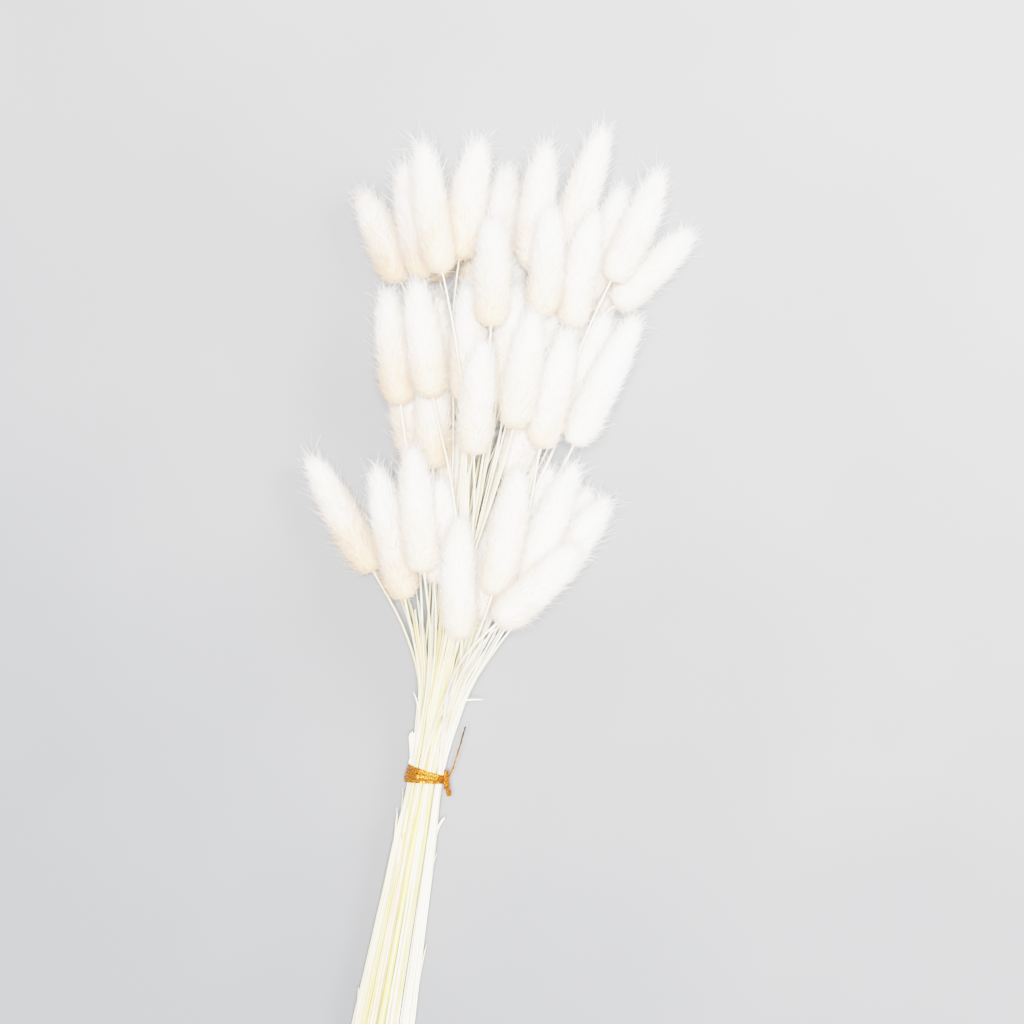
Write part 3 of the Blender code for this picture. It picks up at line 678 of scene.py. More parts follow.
def make_floor_material():
    material, tree, shader = new_material("pale_floor")
    place = own_place(tree)
    # Painted light: the floor's colour is painted paler towards the upper right, for light that falls off
    # towards the lower left.
    slope = vector_maths(tree, "DOT_PRODUCT", place, FLOOR_PAINTED_LIGHT, result="Value")
    middle = FLOOR_TONE - 0.5 * MOTTLE_SHARE
    mottle = maths(tree, "MULTIPLY_ADD", noise(tree, place, MOTTLE_SIZE), MOTTLE_SHARE, middle)
    painted_light_and_mottle = maths(tree, "ADD", slope, mottle, use_clamp=True)
    near = mix_colours(tree, FLOOR_DIM, FLOOR_PALE, painted_light_and_mottle)
    far = map_range(tree, vector_maths(tree, "LENGTH", place, result="Value"), FAR_FROM, FAR_TO)
    give(tree, shader, {
        "Base Color": mix_colours(tree, near, FLOOR_FAR, far),
        "Normal": bump(tree, noise(tree, place, GRAIN_SIZE), GRAIN_STRENGTH, GRAIN_HEIGHT),
        "Roughness": 0.9})
    return material


def add_lamp(name, place, aim, size, power, colour):
    data = bpy.data.lights.new(name, "AREA")
    data.shape = "SQUARE"
    data.size = size
    data.energy = power
    data.color = colour
    lamp = add_object(name, data)
    lamp.location = place
    lamp.rotation_euler = (Vector(aim) - Vector(place)).to_track_quat("-Z", "Y").to_euler()


bpy.ops.mesh.primitive_plane_add(size=FLOOR_SIZE)
floor = bpy.context.object
floor.name = "floor"
floor.data.materials.append(make_floor_material())
floor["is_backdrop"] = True
for lamp_values in LAMPS:
    add_lamp(*lamp_values)
print("lights:", [lamp.name for lamp in bpy.data.lights])

# %% [markdown]
# A shared shader group for dry plant fibre.
#
# Hair, core, stems and wisps are all bleached grass, and differ in tone more than in kind. One
# group mixes a pale and a straw colour by a slow noise and a fine streak that runs along the
# bunch, and gives a height for the bump. Each material places it with its own values.

# %% Fibre shader group
STREAK_SHARE = 0.45
FIBRE_CONTRAST = 0.8
FIBRE_MIDDLE = -0.62


def make_fibre_group():
    group = bpy.data.node_groups.new("Dry fibre", "ShaderNodeTree")
    face = group.interface
    for name in ("Pale", "Straw"):
        face.new_socket(name, in_out="INPUT", socket_type="NodeSocketColor")
    for name, value in (("Tone", 0.5), ("Patches", 60.0), ("Streaks", 1500.0), ("Length", 30.0)):
        face.new_socket(name, in_out="INPUT", socket_type="NodeSocketFloat").default_value = value
    face.new_socket("Color", in_out="OUTPUT", socket_type="NodeSocketColor")
    face.new_socket("Height", in_out="OUTPUT", socket_type="NodeSocketFloat")
    given = add_node(group, "NodeGroupInput").outputs
    place = own_place(group)
    spots = {"Vector": place, "Scale": given["Patches"]}
    patches = add_node(group, "ShaderNodeTexNoise", spots).outputs["Fac"]
    sides = {0: given["Streaks"], 1: given["Length"], 2: given["Streaks"]}
    stretch = add_node(group, "ShaderNodeCombineXYZ", sides).outputs[0]
    streaks = noise(group, vector_maths(group, "MULTIPLY", place, stretch), 1.0)
    both = maths(group, "MULTIPLY_ADD", streaks, STREAK_SHARE, patches)
    shift = maths(group, "MULTIPLY_ADD", both, FIBRE_CONTRAST, FIBRE_MIDDLE)
    share = maths(group, "ADD", shift, given["Tone"], use_clamp=True)
    colour = mix_colours(group, given["Pale"], given["Straw"], share)
    add_node(group, "NodeGroupOutput", {"Color": colour, "Height": streaks})
    return group


fibre_group = make_fibre_group()
print("shader group sockets:", [item.name for item in fibre_group.interface.items_tree])

# %% [markdown]
# Working with geometry nodes.
#
# Two things on this bunch repeat or follow a path: the hairs on a head and the stems. Both are made by
# node trees that are built here. One helper starts a tree with named inputs and one ends it. The last
# one, grow, puts a tree on a working object, sets its inputs by the sockets' identifiers and turns the
# result into a plain mesh, so that no modifier is left on a finished piece.

# %% Helpers for geometry trees
def new_tree(name, *inputs):
    """A tree with a geometry and other inputs, each a name, a kind and a value or None."""
    tree = bpy.data.node_groups.new(name, "GeometryNodeTree")
    face = tree.interface
    face.new_socket("Geometry", in_out="INPUT", socket_type="NodeSocketGeometry")
    for label, kind, value in inputs:
        item = face.new_socket(label, in_out="INPUT", socket_type="NodeSocket" + kind)
        if value is not None:
            item.default_value = value
    face.new_socket("Geometry", in_out="OUTPUT", socket_type="NodeSocketGeometry")
    return tree, add_node(tree, "NodeGroupInput").outputs


def close_tree(tree, geometry, finish=None):
    """Turns instances into real mesh, gives it its material and ends the tree."""
    shape = add_node(tree, "GeometryNodeRealizeInstances", {"Geometry": geometry}).outputs[0]
    if finish is not None:
        inputs = {"Geometry": shape, "Material": finish}
        shape = add_node(tree, "GeometryNodeSetMaterial", inputs).outputs[0]
    add_node(tree, "NodeGroupOutput", {"Geometry": shape})
    return tree


def named_value(tree, name, kind="FLOAT"):
    inputs = {"Name": name}
    return add_node(tree, "GeometryNodeInputNamedAttribute", inputs, data_type=kind).outputs["Attribute"]


def store(tree, geometry, name, value):
    inputs = {"Geometry": geometry, "Name": name, "Value": value}
    kind = {"data_type": "FLOAT", "domain": "POINT"}
    return add_node(tree, "GeometryNodeStoreNamedAttribute", inputs, **kind).outputs[0]


def moved(tree, geometry, **places):
    inputs = {"Geometry": geometry, **places}
    return add_node(tree, "GeometryNodeSetPosition", inputs).outputs[0]


def wander(tree, size, amount, inputs, **settings):
    """A vector that changes slowly from place to place, as long as the amount says."""
    field = add_node(tree, "ShaderNodeTexNoise", {"Scale": 1 / size, **inputs}, **settings)
    centred = vector_maths(tree, "SUBTRACT", field.outputs["Color"], (0.5, 0.5, 0.5))
    return vector_maths(tree, "SCALE", centred, Scale=amount)


def grow(item, name, tree, **values):
    """Puts a tree on a working object, sets its inputs and keeps the result as a plain piece."""
    modifier = item.modifiers.new(tree.name, "NODES")
    modifier.node_group = tree
    for entry in tree.interface.items_tree:
        label = entry.name.lower().replace(" ", "_")
        if entry.in_out == "INPUT" and label in values:
            modifier[entry.identifier] = values[label]
    bpy.context.view_layer.update()
    graph = bpy.context.evaluated_depsgraph_get()
    mesh = bpy.data.meshes.new_from_object(item.evaluated_get(graph))
    mesh.name = name
    old = item.data
    bpy.data.objects.remove(item)
    bpy.data.meshes.remove(old)
    return add_object(name, mesh)


trial, trial_inputs = new_tree("Trial", ("Size", "Float", 1.0))
close_tree(trial, trial_inputs["Geometry"])
print("a small tree has sockets:", [item.name for item in trial.interface.items_tree])
bpy.data.node_groups.remove(trial)

# %% [markdown]
# The finish of the heads.
#
# Bleached bunny tails are nearly pure white at the tips of the hair. Deep between the hairs, where
# little light gets in, the hair is painted a warm cream as painted shade; at the foot of each head the
# cream is partly the head's own colour and partly painted shade. Every point of a head knows how far
# out along its hair it is (rise), how warm its place on the head is, its own cream and painted shade
# together (warm), and a small draw of its own (tone). The material turns the three into one mix, so
# the painted shade sits in the gaps and the white on the outside. A little sheen gives the soft edge
# that light has on fine hair.

# %% Head material
HAIR_WHITE = (0.985, 0.983, 0.980, 1.0)
# The cream is both the hair's own colour at the foot of a head and the colour of its painted shade.
HAIR_CREAM_AND_SHADE = (0.92, 0.71, 0.50, 1.0)
# Painted shade: how much cream is painted onto the hair towards its roots, deep among the hairs.
DEEP_PAINTED_SHADE = 0.08
WARM_TONE = 1.05
OWN_TONE = 0.12


def add_fibre(tree, pale, straw, tone, **values):
    """Places the fibre group in a material and returns its outputs."""
    inputs = {"Pale": pale, "Straw": straw, "Tone": tone}
    inputs.update((name.capitalize(), value) for name, value in values.items())
    return add_node(tree, "ShaderNodeGroup", inputs, node_tree=fibre_group).outputs


def make_head_material():
    material, tree, shader = new_material("bleached_hair")
    # Painted shade: the hair is painted creamier towards its roots, and the core fully so.
    painted_depth_shade = maths(tree, "MULTIPLY", maths(tree, "SUBTRACT", 1.0, stored(tree, "rise")), DEEP_PAINTED_SHADE)
    warm = maths(tree, "MULTIPLY", stored(tree, "warm"), WARM_TONE)
    own = maths(tree, "MULTIPLY", stored(tree, "tone"), OWN_TONE)
    tone = maths(tree, "ADD", maths(tree, "ADD", painted_depth_shade, warm), own)
    fibre = add_fibre(tree, HAIR_WHITE, HAIR_CREAM_AND_SHADE, tone, patches=90.0, streaks=900.0, length=120.0)
    give(tree, shader, {
        "Base Color": fibre["Color"], "Roughness": 0.75, "Specular IOR Level": 0.25,
        "Sheen Weight": 0.45, "Sheen Roughness": 0.5})
    return material


bleached_hair = make_head_material()
print("material:", bleached_hair.name)

# %% [markdown]
# The core of a head.
#
# Under its hair a bunny tail head is a dense egg of seed husks on one stalk. Hair hides nearly all of
# it, yet it is what makes the head look full and not see-through. It is a grid of rings and sides
# wound round the head's bowed axis, with a low relief of overlapping husks, closed at both poles. Its
# points also carry what the hair needs to know: the way it grows (lay) and its length (reach).

# %% Core of a head
CORE_SHARE = 0.82
CORE_ENDS = (0.015, 0.955)
CORE_RINGS = 24
CORE_SIDES = 20
# How far the end rings stand off the poles, in steps between rings.
POLE_GAP = 0.7
HUSK_ROWS = 11
HUSK_COLUMNS = 7
HUSK_RELIEF = 0.05
HUSK_TONE = 0.5
# Shares of a head's length, and what is read off between them: how much slimmer the core gets, how
# far hairs lean forward in degrees, how long they are and how warm their colour is; the warmth at the
# foot of a head is partly its own cream and partly painted shade.
SLIMNESS = ((0.45, 1.0), (1.0, 0.95))
FORWARD = ((0.0, 0.12, 0.5, 0.8, 1.0), (-5, 24, 40, 46, 56))
REACH = ((0.0, 0.1, 0.5, 0.85, 1.0), (0.5, 0.9, 1.0, 1.05, 1.1))
FOOT_CREAM_AND_SHADE = ((0.0, 0.3, 0.65, 1.0), (0.85, 0.45, 0.1, 0.0))


def unit(vectors):
    return vectors / np.linalg.norm(vectors, axis=1)[:, None]


def grid_faces(rings, sides):
    """Quads of a closed tube, with a fan at each pole; the poles are the last two points."""
    first, last = rings * sides, rings * sides + 1
    faces = []
    for side in range(sides):
        after = (side + 1) % sides
        faces.append((first, after, side))
        for ring in range(rings - 1):
            low, high = ring * sides, (ring + 1) * sides
            faces.append((low + side, low + after, high + after, high + side))
        faces.append((last, (rings - 1) * sides + side, (rings - 1) * sides + after))
    return faces


def husk_relief(share, angle):
    """A pattern of overlapping scales, from 0 between the husks to 1 at their tips."""
    row = share * HUSK_ROWS + 0.5 * np.cos(HUSK_COLUMNS * angle)
    return (row % 1.0) * (0.6 + 0.4 * np.cos(HUSK_COLUMNS * angle + np.pi * np.floor(row)) ** 2)


def make_core(number, plump, warmth_and_shade, blush_and_shade, spread=1.0):
    start, stop = CORE_ENDS
    rings = np.arange(CORE_RINGS) + POLE_GAP
    shares = start + (stop - start) * rings / (CORE_RINGS - 1 + 2 * POLE_GAP)

    def read_off(table):
        """What a table says at every point of the grid, and its ends for the two poles."""
        return np.append(np.repeat(np.interp(shares, *table), CORE_SIDES), (table[1][0], table[1][-1]))

    axis = bunch.head_points(np.append(shares, CORE_ENDS))[number]
    ahead = unit(np.gradient(axis[:CORE_RINGS], axis=0))
    side = unit(np.cross(ahead, (0, 0, 1)))
    up = np.cross(side, ahead)
    angle = 2 * np.pi * np.arange(CORE_SIDES) / CORE_SIDES
    outward = np.cos(angle)[None, :, None] * side[:, None] + np.sin(angle)[None, :, None] * up[:, None]
    relief = husk_relief(shares[:, None], angle[None])
    width = CORE_SHARE * plump * HEAD_RADIUS * head_envelope(shares / stop)
    width = (width * np.interp(shares, *SLIMNESS))[:, None] * (1 - HUSK_RELIEF * (1 - relief))
    places = axis[:CORE_RINGS, None] + width[..., None] * outward
    forward = np.radians(np.interp(shares, *FORWARD))[:, None, None]
    lay = np.cos(forward) * outward + np.sin(forward) * ahead[:, None]
    # The warm value joins each head's own warmth and blush with painted shade: at its foot, more on the
    # left of the bunch, and all over a head that lies under others.
    mesh = mesh_from(
        "core", np.concatenate([places.reshape(-1, 3), axis[CORE_RINGS:]]),
        grid_faces(CORE_RINGS, CORE_SIDES),
        reach=spread * read_off(REACH), warm=warmth_and_shade + blush_and_shade * read_off(FOOT_CREAM_AND_SHADE),
        rise=0.0, tone=np.append(relief, (HUSK_TONE, HUSK_TONE)))
    lay = np.concatenate([lay.reshape(-1, 3), [-ahead[0], ahead[-1]]])
    store_points(mesh, "lay", "FLOAT_VECTOR", lay)
    mesh.shade_smooth()
    return mesh


test_core = make_core(0, 1.0, 0.1, 1.0)
print("core points:", len(test_core.vertices), "faces:", len(test_core.polygons))
bpy.data.meshes.remove(test_core)

# %% [markdown]
# One coat of hair.
#
# A real head has thousands of hairs. Blender's hair curves would draw them well, but they vanish when a
# model is exported, so each hair here is a three-sided spike of mesh: three triangles when it ends in a
# point, six when its tip is blunt. The tree scatters roots over the core, turns a spike along the lay,
# raised towards the normal, with a little clumping from a noise field and a little straying of its own,
# gives it a length and realizes it. The same group serves for the short down and the long awns.

# %% Tree for one coat of hair
CLUMP_SIZE = 2.6 * MM
CLUMP_FORCE = 4.0
SPIKE_SIDES = 3


def make_coat_tree():
    tree, given = new_tree(
        "Coat of hair", ("Hairs", "Int", 1000), ("Length", "Float", 4.0 * MM),
        ("Shortest", "Float", 0.5), ("Thickness", "Float", 0.15 * MM), ("Clumping", "Float", 0.3),
        ("Straying", "Float", 0.3), ("Raised", "Float", 0.0), ("Tip", "Float", 0.0), ("Seed", "Int", 1))

    def draw(number, low=0.0, high=1.0, kind="FLOAT"):
        """A random value for each hair; each number gives another draw."""
        inputs = {"Min": low, "Max": high, "Seed": maths(tree, "ADD", given["Seed"], number)}
        return add_node(tree, "FunctionNodeRandomValue", inputs, data_type=kind).outputs["Value"]

    area = add_node(tree, "GeometryNodeInputMeshFaceArea").outputs[0]
    sizes = {"Geometry": given["Geometry"], "Attribute": area}
    total = add_node(tree, "GeometryNodeAttributeStatistic", sizes, domain="FACE").outputs["Sum"]
    density = maths(tree, "DIVIDE", given["Hairs"], total)
    scatter = {"Mesh": given["Geometry"], "Density": density, "Seed": given["Seed"]}
    roots = add_node(tree, "GeometryNodeDistributePointsOnFaces", scatter).outputs

    raised = vector_maths(tree, "SCALE", roots["Normal"], Scale=given["Raised"])
    lay = vector_maths(tree, "ADD", named_value(tree, "lay", "FLOAT_VECTOR"), raised)
    clumping = maths(tree, "MULTIPLY", given["Clumping"], CLUMP_FORCE)
    clumped = vector_maths(tree, "ADD", lay, wander(tree, CLUMP_SIZE, clumping, {"Detail": 0.0}))
    stray = draw(1, (-1, -1, -1), (1, 1, 1), "FLOAT_VECTOR")
    stray = vector_maths(tree, "SCALE", stray, Scale=given["Straying"])
    way = {"Vector": vector_maths(tree, "ADD", clumped, stray)}
    turned = add_node(tree, "FunctionNodeAlignRotationToVector", way, axis="Z").outputs[0]
    roll = {"Axis": (0, 0, 1), "Angle": draw(2, high=2 * math.pi)}
    roll = add_node(tree, "FunctionNodeAxisAngleToRotation", roll).outputs[0]
    both = {0: turned, 1: roll}
    rolled = add_node(tree, "FunctionNodeRotateRotation", both, rotation_space="LOCAL").outputs[0]

    tip = maths(tree, "MULTIPLY", given["Tip"], 0.5)
    cone = {"Vertices": SPIKE_SIDES, "Radius Top": tip, "Radius Bottom": 0.5, "Depth": 1.0}
    spike = add_node(tree, "GeometryNodeMeshCone", cone, fill_type="NONE").outputs["Mesh"]
    place = add_node(tree, "GeometryNodeInputPosition").outputs[0]
    height = add_node(tree, "ShaderNodeSeparateXYZ", {0: place}).outputs["Z"]

    share = map_range(tree, draw(4), 0.0, 1.0, given["Shortest"])
    reach = maths(tree, "MULTIPLY", named_value(tree, "reach"), given["Length"])
    long = maths(tree, "MULTIPLY", reach, share)
    size = {"X": given["Thickness"], "Y": given["Thickness"], "Z": long}
    grown = add_node(tree, "GeometryNodeInstanceOnPoints", {
        "Points": store(tree, roots["Points"], "tone", draw(3)),
        "Instance": store(tree, spike, "rise", height), "Rotation": rolled,
        "Scale": add_node(tree, "ShaderNodeCombineXYZ", size).outputs[0]})
    return close_tree(tree, grown.outputs[0])


coat_tree = make_coat_tree()
print("tree:", coat_tree.name, "nodes:", len(coat_tree.nodes))

# %% [markdown]
# A whole head.
#
# Four coats go on each core: a short down that gives the head its velvet skin, a dense fluff, a halo
# that blurs the outline, and the long awns that catch the light round the edge. The outer two have
# blunt tips, or they would be too fine to show against the floor. A head that lies under others has
# thinner coats of longer hair, which fill the gaps between the heads on top. Heads that rest on the
# surface press their hair flat on it, so the last step of the tree lets no point sink below it.

# %% Tree for a head
DOWN = {"Hairs": 600, "Length": 3.5 * MM, "Shortest": 0.55, "Thickness": 0.28 * MM,
        "Clumping": 0.20, "Straying": 0.30}
FLUFF = {"Hairs": 2200, "Length": 6.0 * MM, "Shortest": 0.45, "Thickness": 0.13 * MM,
         "Clumping": 0.15, "Straying": 0.36, "Raised": 0.4}
HALO = {"Hairs": 1050, "Length": 8.5 * MM, "Shortest": 0.5, "Thickness": 0.14 * MM,
        "Clumping": 0.08, "Straying": 0.36, "Raised": 0.9, "Tip": 0.4}
AWNS = {"Hairs": 330, "Length": 11.0 * MM, "Shortest": 0.6, "Thickness": 0.15 * MM,
        "Clumping": 0.05, "Straying": 0.42, "Raised": 0.8, "Tip": 0.4}
COAT_SEED_STEP = 10.0
# No point of a head lies lower than this in any direction; only the last number is ever reached.
LOWEST_PLACE = (-9.0, -9.0, 0.15 * MM)


def make_head_tree():
    tree, given = new_tree(
        "Bunny tail head", ("Awn Length", "Float", AWNS["Length"]), ("Fullness", "Float", 1.0),
        ("Seed", "Int", 1), ("Finish", "Material", None))
    join = add_node(tree, "GeometryNodeJoinGeometry")
    for number, coat in enumerate((AWNS, HALO, FLUFF, DOWN)):
        inputs = {
            **coat, "Geometry": given["Geometry"],
            "Hairs": maths(tree, "MULTIPLY", given["Fullness"], float(coat["Hairs"])),
            "Seed": maths(tree, "ADD", given["Seed"], COAT_SEED_STEP * number)}
        if coat is AWNS:
            inputs["Length"] = given["Awn Length"]
        hairs = add_node(tree, "GeometryNodeGroup", inputs, node_tree=coat_tree).outputs[0]
        give(tree, join, {0: hairs})
    give(tree, join, {0: given["Geometry"]})
    place = add_node(tree, "GeometryNodeInputPosition").outputs[0]
    lifted = vector_maths(tree, "MAXIMUM", place, LOWEST_PLACE)
    return close_tree(tree, moved(tree, join.outputs[0], Position=lifted), given["Finish"])


head_tree = make_head_tree()
print("tree:", head_tree.name, "nodes:", len(head_tree.nodes))

# %% [markdown]
# All the heads.
#
# Each head gets its own seed, plumpness, warmth, blush and awn length from one seeded draw, so no two
# look alike. The heads at the left get more painted shade at their base than those at the right, for
# light that falls off towards the lower left, and a head that lies under others is painted warmer
# all over, as painted shade. The outer heads have the longest awns, as in the picture. A finished
# piece replaces each plain solid.

# %% Make the heads
HEAD_SEED = 21
PLUMP = (0.95, 1.05)
OWN_WARMTH = (0.0, 0.06)
BLUSH = (0.4, 0.9)
# Painted shade: across the bunch in mm, and how much more cream a head gets at its base there, for light
# that falls off towards the lower left.
SIDE_PAINTED_SHADE = ((-55, 45), (0.55, -0.35))
AWN_LENGTH = (8.0, 11.0)
LONG_AWNED = {28: 13.0, 29: 12.0, 2: 14.0, 6: 13.0, 8: 12.0, 35: 12.0}
HIDDEN_FULLNESS = 0.8
HIDDEN_SPREAD = 1.3
# Painted shade: how much warmer a head that lies under others is painted, for the shade of the heads on
# top.
HIDDEN_PAINTED_SHADE = 0.12


def make_head(number, draw):
    plump = draw.uniform(*PLUMP)
    warmth_and_shade = draw.uniform(*OWN_WARMTH)
    # The blush is a head's own random cream plus painted shade that grows towards the left.
    blush_and_shade = draw.uniform(*BLUSH) + np.interp(bunch.middle[number, 0], *SIDE_PAINTED_SHADE)
    awns = LONG_AWNED.get(number + 1, draw.uniform(*AWN_LENGTH))
    fullness, spread = 1.0, 1.0
    if number >= len(HEADS_ON_SHOW):
        fullness, spread = HIDDEN_FULLNESS, HIDDEN_SPREAD
        # Painted shade on a head that lies under others.
        warmth_and_shade += HIDDEN_PAINTED_SHADE
    core = add_object("core", make_core(number, plump, warmth_and_shade, blush_and_shade, spread))
    piece = grow(core, "tail_%02d" % (number + 1), head_tree, awn_length=awns * MM,
                 fullness=fullness, seed=100 * number + 7, finish=bleached_hair)
    return hand_over(piece, head_nodes[number])


head_draw = np.random.default_rng(HEAD_SEED)
tails = [make_head(number, head_draw) for number in range(bunch.count)]
print("heads:", len(tails), "triangles:", sum(triangles(piece) for piece in tails),
      "most in one:", max(triangles(piece) for piece in tails))

# %% [markdown]
# The finish of the stems.
#
# The stems are bleached straw: ivory for the most part, yellow or peach where the bleach has not
# reached, with fine lengthwise ribs. The shared fibre group gives the patches and the ribs, two
# values per stem say how much colour it kept and which, and the group's height feeds a bump.

# %% Stem material
STEM_IVORY = (0.975, 0.95, 0.82, 1.0)
STEM_STRAW = (0.76, 0.67, 0.20, 1.0)
STEM_PEACH = (0.93, 0.72, 0.50, 1.0)
STEM_TONE = 0.75
RIB_STRENGTH = 0.6
RIB_HEIGHT = 0.05 * MM


def make_stem_material():
    material, tree, shader = new_material("bleached_straw")
    straw = mix_colours(tree, STEM_STRAW, STEM_PEACH, stored(tree, "own"))
    tone = maths(tree, "MULTIPLY", stored(tree, "tone"), STEM_TONE)
    fibre = add_fibre(tree, STEM_IVORY, straw, tone, patches=45.0, streaks=1800.0, length=25.0)
    give(tree, shader, {
        "Base Color": fibre["Color"],
        "Normal": bump(tree, fibre["Height"], RIB_STRENGTH, RIB_HEIGHT),
        "Roughness": 0.5,
        "Specular IOR Level": 0.4})
    return material


bleached_straw = make_stem_material()
print("material:", bleached_straw.name)

# %% [markdown]
# The stems.
#
# Each stem is a hollow grass culm, thickest at its cut end, with a knuckle where a leaf once clasped
# it. A line of points through the layout's stations carries the thickness, and a tree makes it a
# round, slightly crooked culm. A lofted mesh could do the same, but a tree keeps the sizes as inputs
# and can be tried live. One object holds the stems of one group, as the plain solids do.

# %% Tree for culms
CULM_SIDES = 7
CULM_STEP = 6.0 * MM
CROOKED = 0.35 * MM
CROOKED_SIZE = 26.0 * MM
# How far apart the noise is read for stems whose own values differ by one.
OWN_NOISE = 50.0


def make_culm_tree():
    tree, given = new_tree(
        "Straw culms", ("Sides", "Int", CULM_SIDES), ("Step", "Float", CULM_STEP),
        ("Crooked", "Float", CROOKED), ("Finish", "Material", None))
    line = {"Curve": add_node(tree, "GeometryNodeMeshToCurve", {0: given["Geometry"]}).outputs[0]}
    smooth = add_node(tree, "GeometryNodeCurveSplineType", line, spline_type="CATMULL_ROM").outputs[0]
    steps = {"Curve": smooth, "Length": given["Step"]}
    even = add_node(tree, "GeometryNodeResampleCurve", steps, mode="LENGTH").outputs[0]
    free = maths(tree, "MULTIPLY", given["Crooked"], named_value(tree, "free"))
    amount = maths(tree, "MULTIPLY", free, 2.0)
    own = maths(tree, "MULTIPLY", named_value(tree, "own"), OWN_NOISE)
    offset = wander(tree, CROOKED_SIZE, amount, {"Detail": 1.0, "W": own}, noise_dimensions="4D")
    circle = {"Resolution": given["Sides"], "Radius": 1.0}
    ring = add_node(tree, "GeometryNodeCurvePrimitiveCircle", circle, mode="RADIUS").outputs[0]
    skin = add_node(tree, "GeometryNodeCurveToMesh", {
        "Curve": moved(tree, even, Offset=offset), "Profile Curve": ring,
        "Scale": named_value(tree, "thick"), "Fill Caps": True})
    return close_tree(tree, skin.outputs[0], given["Finish"])


culm_tree = make_culm_tree()
print("tree:", culm_tree.name, "nodes:", len(culm_tree.nodes))

# %% [markdown]
# The path of each culm.
#
# The path starts at the cut end and runs into the foot of the head, so that no gap shows there. The
# thickness falls along it, with two knuckles, and the crookedness fades out near the tie,
# where its neighbours hold a stem straight. Between neighbouring stems lie loose straws without a
# head, thinner ones that taper and stop short of the heads, and they fill the bundle as the photo
# shows it.

# %% Paths of the culms
INTO_HEAD = 0.10
PATH_STEP = 4.0
STATION_CLEAR = 8.0
CLEAR_OF_SURFACE = 0.45
KNUCKLES = 2
KNUCKLE_WIDTH = 2.2
KNUCKLE_RISE = 0.28
KNUCKLE_FROM = 15.0
KNUCKLE_TO = 60.0
HELD_SPAN = 26.0
FREE_FADE = 30.0
# Distance from the tie and how thin a stem is there.
THINNESS = ((12, 60), (1.0, 0.70))
# Place along the stem and across the bundle, and how much of its yellow a stem kept there.
UNBLEACHED = ((CUT_END, -20, 40, 100), (2.0, 1.6, 1.2, 0.6))
SIDE_TONES = ((-6, -2, 3, 6), (1.8, 1.4, 0.6, 0.25))
LEAST_TONE = 0.08
STRAW_THIN = 0.78
STRAW_TIP = 0.4
STRAW_TAPER = 14.0
STRAW_PLACE = (0.25, 0.75)
STRAW_REACH = (0.88, 1.02)
STRAWS_BESIDE = 4


def points_along(rings, along):
    """Points of a stem at places along it, from where it is at the stations."""
    across, height = (np.interp(along, RINGS, rings[:, axis]) for axis in (0, 1))
    return np.stack([across, along, height], 1)


def stations(cut, top):
    """The cut end, and the stations well between it and the top."""
    return np.append(cut, RINGS[(RINGS > cut + STATION_CLEAR) & (RINGS < top - STATION_CLEAR)])


def stem_points(number):
    """A stem's points in millimetres, from its cut end into its head."""
    ends = bunch.head_points(np.array([0.0, INTO_HEAD]))[number]
    below = points_along(STEMS[number], stations(bunch.cut[number], ends[0, 1]))
    points = np.concatenate([below, ends])
    points[:, 2] = np.maximum(points[:, 2], stem_radius(points[:, 1]) + CLEAR_OF_SURFACE)
    return points


def straw_points(first, second, share, reach):
    """The points of a loose straw without a head, between two neighbouring stems."""
    cut = max(bunch.cut[first], bunch.cut[second])
    top = reach * min(BASES[first, 1], BASES[second, 1])
    mixed = (1 - share) * STEMS[first] + share * STEMS[second]
    return points_along(mixed, np.append(stations(cut, top), top))


def hermite(knots, values, places):
    """A smooth curve through values at knots, with slopes taken from the neighbours."""
    slope = np.gradient(values, knots)
    left = np.clip(np.searchsorted(knots, places, side="right") - 1, 0, len(knots) - 2)
    wide = knots[left + 1] - knots[left]
    share = (places - knots[left]) / wide
    return cubic(share, values[left], wide * slope[left], values[left + 1], wide * slope[left + 1])


def smooth_path(points, count=None):
    """Evenly spaced points on a smooth curve through a few, PATH_STEP apart if no count is given."""
    run = np.append(0, np.cumsum(np.linalg.norm(np.diff(points, axis=0), axis=1)))
    along = np.linspace(0, run[-1], count or max(2, int(run[-1] / PATH_STEP)))
    return np.stack([hermite(run, points[:, axis], along) for axis in range(3)], 1)


def straw_line(points, slim, tip, draw, side):
    """Close points along a culm, with the thickness, tone and freedom at each."""
    points = smooth_path(points)
    along = points[:, 1]
    from_tip = along[-1] - along
    width = slim * stem_radius(along) * np.interp(np.abs(along), *THINNESS)
    width = width * np.interp(from_tip, (0, STRAW_TAPER), (tip, 1.0))
    for knuckle in draw.uniform(along[0] + KNUCKLE_FROM, KNUCKLE_TO, KNUCKLES):
        width = width * (1 + KNUCKLE_RISE * np.exp(-((along - knuckle) / KNUCKLE_WIDTH) ** 2))
    bleached = np.interp(along, *UNBLEACHED) * np.interp(side, *SIDE_TONES)
    tone = (draw.uniform(0, 1) ** 1.4 + LEAST_TONE) * bleached
    held = np.clip((np.abs(along) - HELD_SPAN) / FREE_FADE, 0, 1)
    free = held * np.clip(np.minimum(from_tip, along - along[0]) / FREE_FADE, 0, 1)
    own = np.full(len(points), draw.uniform(0, 1))
    return points, {"thick": width * MM, "tone": tone, "own": own, "free": free}


